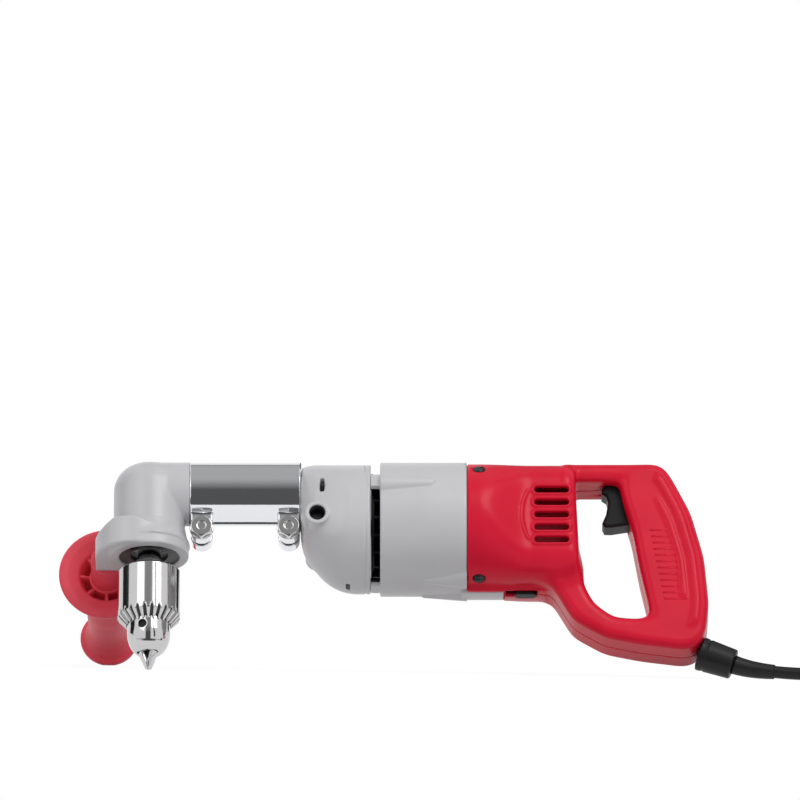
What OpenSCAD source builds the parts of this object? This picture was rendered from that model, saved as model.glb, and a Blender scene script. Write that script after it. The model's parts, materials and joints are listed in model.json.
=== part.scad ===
// Right angle drill with a rear D-handle, a clamped angle head and a side handle.
// It is modelled in tool axes: x runs from the chuck axis back along the main
// spindle axis, z points away from the drill bit and y points to the far side.
// Each sub-part is then set down as the tool stands: on its jaws, on the end of
// the side handle and on the cord guard, leaning back on a floor at z = 0.

/* [Angle head] */
// Diameter of the upright barrel
barrel_d = 52.4; // [50:0.2:54]
// Diameter of the neck and of the coupling sleeve
sleeve_d = 47; // [46:0.5:49]
// Diameter of the lower flange
flange_d = 58; // [57:0.5:62]
// Depth of the flange face below the spindle axis
flange_drop = 51; // [50:0.5:56]
// Reach of the handle lug to the left of the chuck axis
lug_reach = 40; // [38:0.5:42]
// Module of the bevel teeth
bevel_module = 1.75; // [1.6:0.05:1.8]

/* [Chuck] */
// Outer diameter of the toothed sleeve
chuck_d = 46; // [45.5:0.5:50]
// Distance of the sleeve's top edge below the spindle axis
chuck_top = 62.5; // [60:0.5:68]
// Length of the plain part of the sleeve
chuck_grip = 37.5; // [32:0.5:40]
// Distance of the closed jaw tips below the spindle axis
jaw_drop = 140; // [138:0.5:146]
// Diameter of one jaw
jaw_d = 6.5; // [6:0.1:6.8]
// Slope of the jaws to the chuck axis
jaw_slope = 13; // [12:0.25:13.5]
// Number of key teeth on the sleeve
key_teeth = 26; // [20:1:32]

/* [Coupling sleeve] */
// Start of the sleeve behind the chuck axis
sleeve_start = 29.5; // [29:0.5:33]
// Length of the sleeve
sleeve_len = 82; // [78:0.5:84]
// Diameter of the spigots inside the sleeve
spigot_d = 42.4; // [41:0.1:43]
// Width of the split along the underside
split_w = 4; // [3:0.5:6]
// Distance of the clamp screws below the spindle axis
clamp_drop = 31.5; // [30.5:0.5:33]

/* [Gear case] */
// Length of the gear case behind the sleeve
case_len = 47.5; // [47:0.5:52]
// Wall of the gear case
case_wall = 4.5; // [3.5:0.25:5.5]
// Diameter of the side handle thread
socket_d = 12; // [10:0.5:12.7]
// Module of the first gear pair
first_module = 1; // [0.97:0.01:1.02]
// Module of the second gear pair
second_module = 1; // [0.97:0.01:1.02]

/* [Motor] */
// Depth of the motor axis below the spindle axis
motor_drop = 28.5; // [28:0.1:29]
// Length of the motor housing
motor_len = 63.5; // [62:0.5:68]
// Width of the air gap in front of the motor housing
vent_w = 7; // [5:0.5:9]
// Diameter of the armature core
armature_d = 46; // [42:0.5:47]
// Diameter of the armature shaft
shaft_d = 10; // [9:0.5:11]

/* [D-handle] */
// Width of the D-handle across the grip
handle_w = 41; // [38:0.5:46]
// Wall of the handle shells
shell_wall = 3; // [2.5:0.25:3.5]
// Rounding of the handle edges
handle_edge = 6; // [5:0.5:9]
// Number of air slots in each side
vent_slots = 5; // [3:1:6]
// Pitch of the air slots
vent_pitch = 10; // [8:0.5:11]
// Travel of the trigger
trigger_travel = 7; // [4:0.5:8]
// Width of the trigger
trigger_w = 17; // [14:0.5:20]
// Travel of the reversing lever
lever_travel = 6; // [4:0.5:7]

/* [Side handle] */
// Diameter of the hand guard
guard_d = 67; // [60:0.5:72]
// Diameter of the grip
grip_d = 29; // [26:0.5:32]
// Diameter of the end flange
grip_end_d = 42; // [38:0.5:46]
// Distance of the end flange behind the chuck axis plane
grip_reach = 168; // [160:1:180]
// Diameter of the stud
stud_d = 10; // [8:0.5:11]

/* [Cord] */
// Diameter of the cord
cord_d = 9; // [8:0.5:9]
// Diameter of the cord guard at its root
guard_root_d = 25; // [22:0.5:27]

/* [Hidden] */
$fn = 64;
hull_fn = 24;

// Clearances
run_gap = 0.02;
slide_gap = 0.3;
side_gap = 0.5;

// Finishes
paint_grey = [0.74, 0.74, 0.75];
shell_red = [0.80, 0.12, 0.20];
guard_red = [0.76, 0.20, 0.24];
steel = [0.72, 0.72, 0.74];
chrome = [0.85, 0.85, 0.87];
dark_steel = [0.35, 0.35, 0.37];
bronze = [0.65, 0.48, 0.25];
copper = [0.72, 0.42, 0.22];
black = [0.08, 0.08, 0.08];

// Angle head
barrel_r = barrel_d / 2;
neck_r = sleeve_d / 2;
flange_r = flange_d / 2;
flange_h = 11;
head_top = neck_r;
head_edge = 18;
skirt_h = 10;
lug_circle_r = flange_r + 1;
lug_rear = 24;
lug_left_h = 12.5;
lug_rise = 27;
spigot_r = spigot_d / 2;
sleeve_end = sleeve_start + sleeve_len;
head_spigot_end = sleeve_start + 0.33 * sleeve_len;
chamber_r = 19;
lower_bearing = [8.5, 20, 12];
upper_bearing = [4.5, 10, 8];
input_bearing = [6, 14, 8];
retainer_r = 22;
retainer_h = 3.5;
lower_bearing_top = -flange_drop + 17;
upper_bearing_z = 10;
snout_len = 0.345 * sleeve_len;
output_bearing_x = sleeve_end - snout_len + 2;
socket_end = output_bearing_x - 10.5;
socket_start = socket_end - 0.3 * sleeve_len;
input_bearing_x = [21.5, socket_start - 10];
nose_r = 7;
nose_start = socket_start + 6;

// Bevel pair: twelve teeth on the pinion drive eighteen on the gear
pinion_teeth = 12;
gear_teeth = 18;
pinion_cone = atan(pinion_teeth / gear_teeth);
gear_cone = 90 - pinion_cone;
cone_len = bevel_module * gear_teeth / 2 / sin(gear_cone);
bevel_face = 6;
bevel_back = 1.5;

// Chuck
chuck_r = chuck_d / 2;
chuck_low = chuck_top + chuck_grip;
bevel_h = 6.5;
sleeve_bore_r = chuck_r - 1.95;
nut_h = 6;
nut_r = sleeve_bore_r - 3.75;
nut_low = chuck_low - 3;
nose_top = chuck_low + 3;
mouth_r = 6.7;
nose_tip = jaw_drop - 12;
chuck_nose_r = 15.9;
jaw_r = jaw_d / 2;
jaw_len = 44;
jaw_tip_r = 2.1;
jaw_flat = 2.2;
jaw_turn = 73;
jaw_point_r = jaw_tip_r + 0.3;
jaw_travel = 28.9;
key_hole_d = 6.3;

// Gear train: the layshaft lies where its two centre distances meet
first_pinion = 9;
first_wheel = 28;
second_pinion = 10;
second_wheel = 28;
motor_z = -motor_drop;
first_centre = first_module * (first_pinion + first_wheel) / 2;
second_centre = second_module * (second_pinion + second_wheel) / 2;
lay_z = -(second_centre ^ 2 - first_centre ^ 2 + motor_drop ^ 2) / (2 * motor_drop);
lay_y = sqrt(second_centre ^ 2 - lay_z ^ 2);
lay_from_motor = atan2(lay_z - motor_z, lay_y);
lay_from_spindle = atan2(lay_z, lay_y);
pressure_angle = 25;
addendum = 0.75;
dedendum = 1;
backlash = 0.16;

// Gear case and motor, along the spindle axis
case_start = sleeve_end;
case_end = case_start + case_len;
plate_h = 3.5;
plate_end = case_end + plate_h;
motor_start = plate_end + vent_w;
motor_end = motor_start + motor_len;
case_step = 2.3;
motor_step = 1.8;
case_r = motor_drop + spigot_r - case_step;
motor_r = case_r + motor_step;
motor_wall = 4.7;
second_x = [case_start + 15.5, case_start + 24.5];
first_x = [case_start + 28.5, case_start + 36.5];
bush_x = case_end - 8;
bush_len = 7;
lay_r = 3.5;
tail_r = 3.6;
output_bearing_size = [7.5, 16, 10];
socket_x = case_start + 12;
socket_z = -33.5;
socket_depth = 12;
case_plan = [
  [0, case_r - 16.4], [12, case_r - 8.9], [21, case_r - 5.9], [36, case_r],
  [case_len + 2, case_r + 0.5],
];
socket_face = case_r - 4.4;
socket_back = socket_face - socket_depth - 2;
case_nose_r = case_r - 13.9;
case_nose_z = -11;
case_flare = 1.1;
socket_boss_r = 8.5;
screw_circle = case_r - 5.9;
screw_angles = [25, 155, 270];
nut_slot = 2.6;
screw_heads = [case_start + 17, case_start + 17, case_start + 36];
land_angle = 15;
core_x = [motor_start + 15, motor_start + 55];
stator_r = motor_r - motor_wall;
fan_x = plate_end + 1.2;
fan_len = vent_w + 5.5;
fan_r = stator_r - 6;
fan_blades = 18;
stator_bore = armature_d / 2 + 1;
front_bearing = [shaft_d / 2, 13, 8];
rear_bearing = [4, 11, 7];
front_bearing_x = case_end - 7;
spigot_len = 16;
frame_x = motor_end + spigot_len;
frame_h = 3.5;
rear_bearing_x = frame_x + 9;
comm_x = [motor_end + 2, motor_end + 15];
comm_r = 14;
tongue_len = 27;
tongue_w = 18;

// D-handle outline: each station is a round of the given half thickness
post_x = motor_end + 68;
stations = [
  [post_x + 4, 9.8, 7.1],
  [post_x + 54, 9.9, 7],
  [post_x + 66, 3.2, 13.8],
  [post_x + 65, -4, 20],
  [post_x + 75, -30, 22.5],
  [post_x + 82, -62, 24],
  [post_x + 87, -95, 22],
  [post_x + 90.5, -115, 16.5],
  [post_x + 60, -117.5, 10],
  [post_x + 36, -114, 8.5],
  [post_x + 17, -101, 10],
  [post_x + 8.5, -85, 10.5],
  [post_x + 1, -66, 13.5],
];
post_w = 62;
post_len = 21;
bell_len = 18;
shell_r = motor_r + 0.6;
housing_screw_x = motor_end + 9;
housing_screw_angles = [40, 140, 251, 289];
shell_screw_spots = [
  [post_x + 25, 9.8], [post_x + 90.5, -34], [post_x + 88, -80], [post_x + 62, -117.5],
  [post_x + 4, -72],
];
vent_x = [post_x - 19, post_x + 7];
vent_top = -10;
vent_h = 4;
grip_lean = 9.5;
trigger_top = 3.5;
trigger_h = 34;
trigger_x = post_x + 31.5;
trigger_depth = 28;
switch_size = [11, handle_w - 2 * shell_wall, 32];
lever_x = motor_end + 43;
lever_size = [13, 8.5];

// Side handle
stud_x = -lug_reach + 8;
stud_z = -flange_drop + 9;
guard_rim = lug_rear + 24;
guard_r = guard_d / 2;
grip_r = grip_d / 2;
grip_end_r = grip_end_d / 2;
grip_end_edge = 3;
rib_count = 10;

// Cord guard: a thick root on the slanted corner and a slimmer sleeve behind it
guard_angle = 20;
guard_root = [post_x + 102.5, -127.8];
guard_root_r = guard_root_d / 2;
guard_root_len = 26;
guard_neck_r = guard_root_r - 6.5;
guard_end_r = 11;
guard_thin_r = 7;

function unit(v) = v / norm(v);
function across(n, a) = unit(n - (n * a) * a);

// Stance: the three lowest points for a floor whose upward normal is n
guard_dir = [cos(guard_angle), 0, -sin(guard_angle)];
function floor_points(n) = [
  [0, 0, -jaw_drop] - jaw_point_r * across(n, [0, 0, 1]),
  [guard_root[0], 0, guard_root[1]] + guard_root_len * guard_dir
    - guard_end_r * across(n, guard_dir),
  [stud_x, grip_reach, stud_z] - grip_end_r * across(n, [0, 1, 0]),
];
function floor_normal(p) = unit(cross(p[1] - p[0], p[2] - p[0]));
function settle(n, rounds) = rounds == 0 ? n : settle(floor_normal(floor_points(n)), rounds - 1);
up = settle([0, -0.42, 0.9], 6);
roll = atan2(-up[1], up[2]);
pitch = atan2(-up[0], norm([up[1], up[2]]));
height = -up * floor_points(up)[0];
function turned(p) = [
  p[0] * cos(pitch) + (p[2] * cos(roll) - p[1] * sin(roll)) * sin(pitch),
  p[1] * cos(roll) + p[2] * sin(roll),
  (p[2] * cos(roll) - p[1] * sin(roll)) * cos(pitch) - p[0] * sin(pitch),
];
guard_tip = [guard_root[0], 0, guard_root[1]] + guard_root_len * guard_dir;
left_end = turned([stud_x - guard_r, guard_rim, stud_z])[0];
right_end = turned(guard_tip)[0] + guard_end_r * sin(guard_angle - pitch);
front_edge = turned([post_x + 80, -handle_w / 2 + handle_edge / 2, -128.5])[1];
rear_edge = turned([stud_x, grip_reach + 3, stud_z + grip_end_r])[1];
origin = [(left_end + right_end) / 2, (front_edge + rear_edge) / 2, -height];
function placed(p) = turned(p) - origin;

// Cord: the run, the coil and the plug lie on the floor
cord_r = cord_d / 2;
cord_sides = 8;
cord_exit = placed(guard_tip);
cord_dir = unit(turned(guard_dir));
lead_route = [
  [6, -0.9, 8.8], [12, -1.8, 7.5], [18, -2.7, 6.6], [24, -3.6, 6], [30, -4.4, 5.6], [37, -5.2, 5.1],
  [45, -6, 4.7], [54, -6.7, 4.5], [63, -7.2, 4.5], [73, -7.6, 4.5], [84, -7.9, 4.5], [96, -8, 4.5],
  [108, -8, 4.6], [120, -8, 4.8], [132, -8, 5.1], [144, -8, 5.4], [155, -8, 5.6],
];
relief_points = 5;
tie_h = 0.9;
tie_w = 12;
tie_gap = 1;
tie_turns = [0.75, 3.75];
coil_lift = tie_h + 0.3;
coil_step = cord_d + 0.6;
coil_out = 69;
climb = 3.5;
coil_turns = 6.25;
coil_rings = 150;
coil_centre = [cord_exit[0] + 165, cord_exit[1] - 8 + coil_out];
plug_r = coil_lift + cord_r + coil_step;
plug_angle = coil_turns * 360;
plug_dir = [cos(plug_angle), sin(plug_angle), 0];
plug_start = coil_point(coil_turns) + 50 * plug_dir;

module posed() {
  translate(-origin) rotate([-roll, pitch, 0]) children();
}

// Solids along one axis
module extrude_x(x0, x1) {
  translate([x0, 0, 0]) rotate([90, 0, 90]) linear_extrude(x1 - x0) children();
}

module extrude_y(y0, y1) {
  translate([0, y1, 0]) rotate([90, 0, 0]) linear_extrude(y1 - y0) children();
}

module rod_x(x0, x1, r, y = 0, z = 0) {
  translate([x0, y, z]) rotate([0, 90, 0]) cylinder(h = x1 - x0, r = r);
}

module rod_y(y0, y1, r, x = 0, z = 0) {
  translate([x, y1, z]) rotate([90, 0, 0]) cylinder(h = y1 - y0, r = r);
}

module rod_z(z0, z1, r, x = 0, y = 0) {
  translate([x, y, z0]) cylinder(h = z1 - z0, r = r);
}

// Size of a bearing: bore radius, outer radius, width
module bearing(size) {
  race = (size[1] - size[0]) / 3;
  difference() {
    cylinder(h = size[2], r = size[1]);
    translate([0, 0, -1]) cylinder(h = size[2] + 2, r = size[0] + run_gap);
    for (face = [-1, size[2] - 0.8])
      translate([0, 0, face]) difference() {
        cylinder(h = 1.8, r = size[1] - race);
        translate([0, 0, -1]) cylinder(h = 4, r = size[0] + race);
      }
  }
}

// Involute tooth outline
function inv(a) = tan(a) - a * PI / 180;
function half_tooth(r, rp, rb, teeth) =
  let (a = acos(min(1, rb / r)))
  90 / teeth - backlash / rp * 90 / PI + (inv(pressure_angle) - inv(a)) * 180 / PI;
function tooth_radii(teeth, m) =
  let (rp = m * teeth / 2, rb = rp * cos(pressure_angle), low = rp - dedendum * m)
  let (start = max(low, rb + 0.001), tip = rp + addendum * m)
  [for (i = [0:4]) start + (tip - start) * i / 4];
function tooth_outline(teeth, m) =
  let (rp = m * teeth / 2, rb = rp * cos(pressure_angle), low = rp - dedendum * m)
  let (radii = tooth_radii(teeth, m))
  let (flank = [for (r = radii) [r, half_tooth(r, rp, rb, teeth)]])
  let (side = low < rb ? concat([[low, flank[0][1]]], flank) : flank)
  let (last = len(side) - 1)
  concat([for (p = side) [p[0], -p[1]]], [for (i = [last:-1:0]) side[i]]);
function gear_outline(teeth, m) = [
  for (t = [0:teeth - 1], p = tooth_outline(teeth, m))
    let (a = t * 360 / teeth + p[1]) p[0] * [cos(a), sin(a)]
];

module spur_gear(x, teeth, m, turn) {
  extrude_x(x[0], x[1]) rotate(turn) polygon(gear_outline(teeth, m));
}

// Bevel teeth: the outline on the back cone is drawn towards the apex
function bevel_outline(teeth, cone) =
  let (virtual = teeth / cos(cone))
  [
    for (t = [0:teeth - 1], p = tooth_outline(virtual, bevel_module))
      let (a = t * 360 / teeth + p[1] / cos(cone))
      [p[0] * cos(cone) * cos(a), p[0] * cos(cone) * sin(a),
        cone_len / cos(cone) - p[0] * sin(cone)]
  ];

module bevel_blank(teeth, cone) {
  outer = bevel_outline(teeth, cone);
  inner = outer * (1 - bevel_face / cone_len);
  n = len(outer);
  low = min([for (p = outer) p[2]]);
  back = max([for (p = outer) p[2]]) + bevel_back;
  front = max([for (p = inner) p[2]]);
  points = concat(outer, inner, [[0, 0, back], [0, 0, front]]);
  faces = [
    for (i = [0:n - 1])
      let (j = (i + 1) % n)
      each [[i, j, j + n], [i, j + n, i + n], [j, i, 2 * n], [i + n, j + n, 2 * n + 1]]
  ];
  polyhedron(points, faces);
}

// Angle head
module lug_plan() {
  difference() {
    translate([stud_x + lug_circle_r - 8, 0]) circle(lug_circle_r);
    translate([-2 * lug_circle_r, lug_rear]) square([4 * lug_circle_r, lug_circle_r]);
  }
  translate([-lug_reach, 0]) square([lug_reach, lug_rear]);
}

module head_outside() {
  rotate_extrude() polygon(concat(
    [[0, -flange_drop], [flange_r, -flange_drop], [flange_r, -flange_drop + flange_h],
      [barrel_r, -flange_drop + flange_h + skirt_h]],
    [for (a = [0:9:90]) [barrel_r - head_edge * (1 - cos(a)), head_top - head_edge * (1 - sin(a))]],
    [[0, head_top]]
  ));
  rod_x(0, sleeve_start, neck_r);
  rod_x(0, head_spigot_end, spigot_r - run_gap);
  intersection() {
    translate([0, 0, -flange_drop]) linear_extrude(lug_rise) lug_plan();
    extrude_y(-flange_d, flange_d) polygon([
      [-lug_reach, -flange_drop], [-lug_reach, -flange_drop + lug_left_h],
      [-barrel_r, -flange_drop + lug_rise], [0, -flange_drop + lug_rise], [0, -flange_drop],
    ]);
  }
}

module head_housing() color(paint_grey) posed() difference() {
  head_outside();
  rod_z(lower_bearing_top, upper_bearing_z, chamber_r);
  rod_z(-flange_drop - 1, lower_bearing_top, lower_bearing[1]);
  rod_z(-flange_drop - 1, lower_bearing_top - lower_bearing[2], retainer_r);
  rod_z(0, upper_bearing_z + upper_bearing[2], upper_bearing[1]);
  rod_x(0, input_bearing_x[1] + input_bearing[2], input_bearing[1]);
  rod_x(input_bearing_x[1] + input_bearing[2], head_spigot_end + 1, input_bearing[1] + 1);
  rod_y(-10, lug_rear + 1, stud_d / 2, stud_x, stud_z);
}

module bearing_retainer() color(dark_steel) posed() difference() {
  low = lower_bearing_top - lower_bearing[2] - retainer_h;
  rod_z(low, low + retainer_h, retainer_r - run_gap);
  rod_z(low - 1, low + retainer_h + 1, lower_bearing[1] - 6);
  for (a = [45:180:225])
    rotate(a) rod_z(low - 1, low + 2, 1.5, retainer_r - 4);
}

module input_bearings() color(steel) posed()
  for (x = input_bearing_x)
    translate([x, 0, 0]) rotate([0, 90, 0]) bearing(input_bearing);

module spindle_bearings() color(steel) posed() {
  translate([0, 0, lower_bearing_top - lower_bearing[2]]) bearing(lower_bearing);
  translate([0, 0, upper_bearing_z]) bearing(upper_bearing);
}

module input_shaft() color(steel) posed() difference() {
  union() {
    rod_x(9.5, 20, 4);
    rod_x(20, socket_start, input_bearing[0]);
    rod_x(socket_start, socket_end, 11);
  }
  rod_x(nose_start - 2, socket_end + 1, nose_r + 0.05);
}

module bevel_pinion() color(dark_steel) posed() difference() {
  union() {
    rotate([90, 0, 90]) rotate(15) bevel_blank(pinion_teeth, pinion_cone);
    rod_x(cone_len * cos(pinion_cone) - 1, 20, 7);
  }
  rod_x(0, 21, 4);
}

module chuck_spindle() color(steel) posed() {
  rod_z(-7, 18 - side_gap, upper_bearing[0]);
  rod_z(-25, -7, 6);
  rod_z(lower_bearing_top + side_gap, -24, 9.8);
  rod_z(-flange_drop - 4, lower_bearing_top + side_gap, lower_bearing[0]);
  rod_z(-chuck_top + 3, -flange_drop - 4, 11);
  rod_z(-chuck_top - 18, -chuck_top + 3, 6.35);
}

module bevel_gear() color(dark_steel) posed() difference() {
  union() {
    rotate([180, 0, 0]) bevel_blank(gear_teeth, gear_cone);
    rod_z(-24, -cone_len * cos(gear_cone) - 1, 10);
  }
  rod_z(-25, 0, 6);
}

// Chuck
module jaw_axis(index) {
  rotate(jaw_turn + 120 * index)
    translate([jaw_tip_r, 0, -jaw_drop]) rotate([0, jaw_slope, 0]) children();
}

module jaw_slots() for (i = [0:2])
  jaw_axis(i) cylinder(h = jaw_len + jaw_travel + 12, r = jaw_r + slide_gap);

module chuck_body() color(steel) posed() difference() {
  rotate_extrude() polygon([
    [0, -chuck_top + 3], [16, -chuck_top + 3], [18, -chuck_top + 0.5], [18, -chuck_top - 2],
    [sleeve_bore_r - 0.05, -chuck_top - 2],
    [sleeve_bore_r - 0.05, -nut_low + nut_h + 0.3], [nut_r - 0.4, -nut_low + nut_h + 0.3],
    [nut_r - 0.4, -nut_low + 0.3], [chuck_nose_r, -nut_low + 0.3],
    [chuck_nose_r, -nose_top], [0, -nose_top],
  ]);
  rod_z(-chuck_top - 18.5, -chuck_top + 4, 6.35);
  jaw_slots();
}

module chuck_nose() color(steel) posed() difference() {
  rotate_extrude() polygon(concat(
    [[mouth_r, -nose_top], [chuck_nose_r, -nose_top]],
    [for (a = [0:10:70]) [chuck_nose_r - 11 * (1 - cos(a)), -nose_tip + 16 - 17 * sin(a)]],
    [[mouth_r, -nose_tip + 16 - 17 * sin(70)]]
  ));
  jaw_slots();
  for (i = [0:2])
    rotate(jaw_turn + 60 + 120 * i)
      translate([8, 0, -chuck_low - 10]) rotate([0, 90, 0]) cylinder(h = 12, d = key_hole_d);
}

module chuck_sleeve() color(steel) posed() difference() {
  rotate_extrude() polygon([
    [sleeve_bore_r, -chuck_top], [chuck_r - 1, -chuck_top], [chuck_r, -chuck_top - 1],
    [chuck_r, -chuck_low], [chuck_nose_r + 0.8, -chuck_low - bevel_h],
    [chuck_nose_r + 0.3, -chuck_low - bevel_h], [chuck_nose_r + 0.3, -nut_low],
    [sleeve_bore_r, -nut_low],
  ]);
  for (i = [0:key_teeth - 1])
    rotate(i * 360 / key_teeth) translate([chuck_r + 0.6, 0, -chuck_low + 0.6])
      rotate([0, 225, 0]) translate([0, 0, -1]) linear_extrude(14)
        polygon([[-2.6, -0.5], [-2.6, 0.5], [2, 1.7], [2, -1.7]]);
}

module chuck_nut() color(dark_steel) posed() difference() {
  rod_z(-nut_low, -nut_low + nut_h, sleeve_bore_r);
  rod_z(-nut_low - 1, -nut_low + nut_h + 1, nut_r);
}

module jaw(index) color(dark_steel) posed() intersection() {
  jaw_axis(index) intersection() {
    cylinder(h = jaw_len, r = jaw_r);
    translate([-jaw_r, -jaw_r, -1]) cube([jaw_r + jaw_flat, jaw_d, jaw_len + 2]);
  }
  rotate(jaw_turn + 120 * index) translate([0, 0, -jaw_drop - 1])
    linear_extrude(jaw_len + 2)
      polygon([[0.15, 0], [20.15, 34.6], [40, 34.6], [40, -34.6], [20.15, -34.6]]);
  rotate_extrude() polygon([
    [0, -jaw_drop], [jaw_point_r, -jaw_drop], [jaw_tip_r + 4.2, -jaw_drop + 9],
    [40, -jaw_drop + 60], [0, -jaw_drop + 60],
  ]);
}
module jaw_1() jaw(0);
module jaw_2() jaw(1);
module jaw_3() jaw(2);

// Side handle
module side_handle_grip() color(guard_red) posed() translate([stud_x, 0, stud_z]) difference() {
  rotate([-90, 0, 0]) difference() {
    rotate_extrude() polygon([
      [0, lug_rear], [11, lug_rear], [11, guard_rim + 6], [guard_r - 3, guard_rim],
      [guard_r, guard_rim], [guard_r, guard_rim + 2.5], [grip_r + 6, guard_rim + 17],
      [grip_r, guard_rim + 26], [grip_r + 1.5, guard_rim + 60], [grip_r - 0.5, grip_reach - 22],
      [grip_end_r - 3, grip_reach - 5], [grip_end_r, grip_reach - grip_end_edge],
      [grip_end_r, grip_reach], [grip_end_r - 3, grip_reach + 3], [0, grip_reach + 3],
    ]);
    difference() {
      rotate_extrude() polygon([
        [13, guard_rim - 1], [guard_r - 2.5, guard_rim - 1], [guard_r - 2.5, guard_rim + 2],
        [grip_r + 3, guard_rim + 15], [13, guard_rim + 15],
      ]);
      for (i = [0:rib_count - 1])
        rotate(i * 360 / rib_count) translate([10, -1.2, guard_rim + 1])
          cube([guard_r, 2.4, 20]);
    }
  }
  rod_y(lug_rear - 1, guard_rim + 25, stud_d / 2);
}

module side_handle_stud() color(steel) posed()
  rod_y(-9, guard_rim + 25, stud_d / 2, stud_x, stud_z);

// Coupling sleeve
ear_w = 16;
ear_y = 12;
ear_xs = [sleeve_start + ear_w / 2 + 1, sleeve_end - ear_w / 2 - 1];
clamp_screw_r = 3;
clamp_head_r = 7;

module coupling_sleeve() color(chrome) posed() difference() {
  union() {
    rod_x(sleeve_start, sleeve_end, neck_r);
    for (x = ear_xs) {
      extrude_y(-ear_y, ear_y) translate([x - ear_w / 2, -clamp_drop]) square([ear_w, clamp_drop]);
      rod_y(-ear_y, ear_y, ear_w / 2, x, -clamp_drop);
    }
  }
  rod_x(sleeve_start - 1, sleeve_end + 1, spigot_r + 0.03);
  translate([sleeve_start - 1, -split_w / 2, -clamp_drop - ear_w])
    cube([sleeve_len + 2, split_w, clamp_drop + ear_w - 5]);
  for (x = ear_xs) rod_y(-ear_y - 1, ear_y + 1, clamp_screw_r + slide_gap, x, -clamp_drop);
}

module clamp_screws() color(steel) posed() for (x = ear_xs) difference() {
  union() {
    rod_y(-ear_y, ear_y + 8, clamp_screw_r, x, -clamp_drop);
    rod_y(-ear_y - 6.5, -ear_y, clamp_head_r, x, -clamp_drop);
  }
  translate([x, -ear_y - 3, -clamp_drop]) rotate([90, 0, 0]) cylinder(h = 5, d = 6, $fn = 6);
}

module clamp_nuts() color(steel) posed() for (x = ear_xs) difference() {
  translate([x, ear_y + 5.5, -clamp_drop]) rotate([90, 0, 0]) cylinder(h = 5.5, d = 11.5, $fn = 6);
  rod_y(ear_y - 1, ear_y + 7, clamp_screw_r, x, -clamp_drop);
}

// Gear case: a drum on the motor axis, cut by a cone that opens from the nose
module case_form(inset, front, back) {
  nose = case_nose_r - 1.45 * inset;
  half = [for (p = case_plan) [case_start + p[0], p[1] - inset]];
  intersection() {
    translate([0, 0, motor_z - 2 * case_r]) linear_extrude(4 * case_r) polygon(concat(
      half, [for (i = [len(half) - 1:-1:0]) [half[i][0], -half[i][1]]]));
    rod_x(case_start + front, case_end + back, case_r - inset, 0, motor_z);
    translate([case_start, 0, case_nose_z]) rotate([0, 90, 0])
      cylinder(h = case_len + 2, r1 = nose, r2 = nose + case_flare * (case_len + 2));
  }
}

module screw_places(radius) {
  for (i = [0:2])
    translate([screw_heads[i], -radius * cos(screw_angles[i]),
      motor_z + radius * sin(screw_angles[i])]) children();
}

module gear_case() color(paint_grey) posed() difference() {
  union() {
    difference() {
      case_form(0, 0, 0);
      case_form(case_wall, 7, 1);
    }
    rod_x(case_start - snout_len, case_start + 1, spigot_r);
    rod_x(case_start + 1, case_start + 12, 8, lay_y, lay_z);
    rod_y(-socket_face, -socket_back, socket_boss_r, socket_x, socket_z);
    rod_y(socket_back, socket_face, socket_boss_r, socket_x, socket_z);
    for (i = [0:2])
      rod_x(screw_heads[i] - 1, case_end, 4.6, -screw_circle * cos(screw_angles[i]),
        motor_z + screw_circle * sin(screw_angles[i]));
  }
  rod_x(case_start - snout_len - 1, case_start + 8, 10.5);
  rod_x(output_bearing_x - 3, output_bearing_x + output_bearing_size[2], output_bearing_size[1]);
  rod_x(case_start + 5, case_start + 13, 5, lay_y, lay_z);
  rod_x(second_x[0] - 1.5, second_x[1] + 1.5, second_module * second_wheel / 2 + 1.5);
  rod_y(-socket_face - 1, -socket_face + socket_depth, socket_d / 2, socket_x, socket_z);
  rod_y(socket_face - socket_depth, socket_face + 1, socket_d / 2, socket_x, socket_z);
  screw_places(screw_circle) {
    rod_x(-1, case_end, 2.6);
    rod_x(-nut_slot, 0, 4.2);
  }
}

module gear_case_screws() color(dark_steel) posed() {
  screw_places(screw_circle) rod_x(-nut_slot + 0.2, 0, 4);
  for (i = [0:2])
    rod_x(screw_heads[i], motor_start + 7, 2.5, -screw_circle * cos(screw_angles[i]),
      motor_z + screw_circle * sin(screw_angles[i]));
}

module socket_plug() color(dark_steel) posed() difference() {
  rod_y(socket_face - socket_depth, socket_face - 1, socket_d / 2, socket_x, socket_z);
  translate([socket_x, socket_face, socket_z]) rotate([90, 0, 0])
    cylinder(h = socket_depth / 2, r = socket_d / 4, $fn = 6);
}

module gear_plate() color(paint_grey) posed() difference() {
  union() {
    rod_x(case_end, plate_end, case_r, 0, motor_z);
    rod_x(bush_x, case_end + 1, 8);
    rod_x(bush_x, case_end + 1, 6.5, lay_y, lay_z);
    rod_x(front_bearing_x, case_end + 1, front_bearing[1] + 3, 0, motor_z);
  }
  rod_x(bush_x - 1, bush_x + bush_len, 6);
  rod_x(bush_x - 1, bush_x + bush_len, 5, lay_y, lay_z);
  rod_x(front_bearing_x - 1, front_bearing_x + front_bearing[2], front_bearing[1], 0, motor_z);
  rod_x(front_bearing_x, plate_end + 1, 9, 0, motor_z);
  for (a = screw_angles)
    rod_x(case_end - 1, plate_end + 1, 2.6, -screw_circle * cos(a), motor_z + screw_circle * sin(a));
}

// Gear train
module output_spindle() color(steel) posed() {
  rod_x(nose_start, output_bearing_x - 1, nose_r);
  rod_x(output_bearing_x - 1, second_x[0], output_bearing_size[0]);
  rod_x(second_x[0], second_x[1] + 1, 7);
  rod_x(second_x[1] + 1, bush_x + bush_len - side_gap, tail_r);
}

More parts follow.
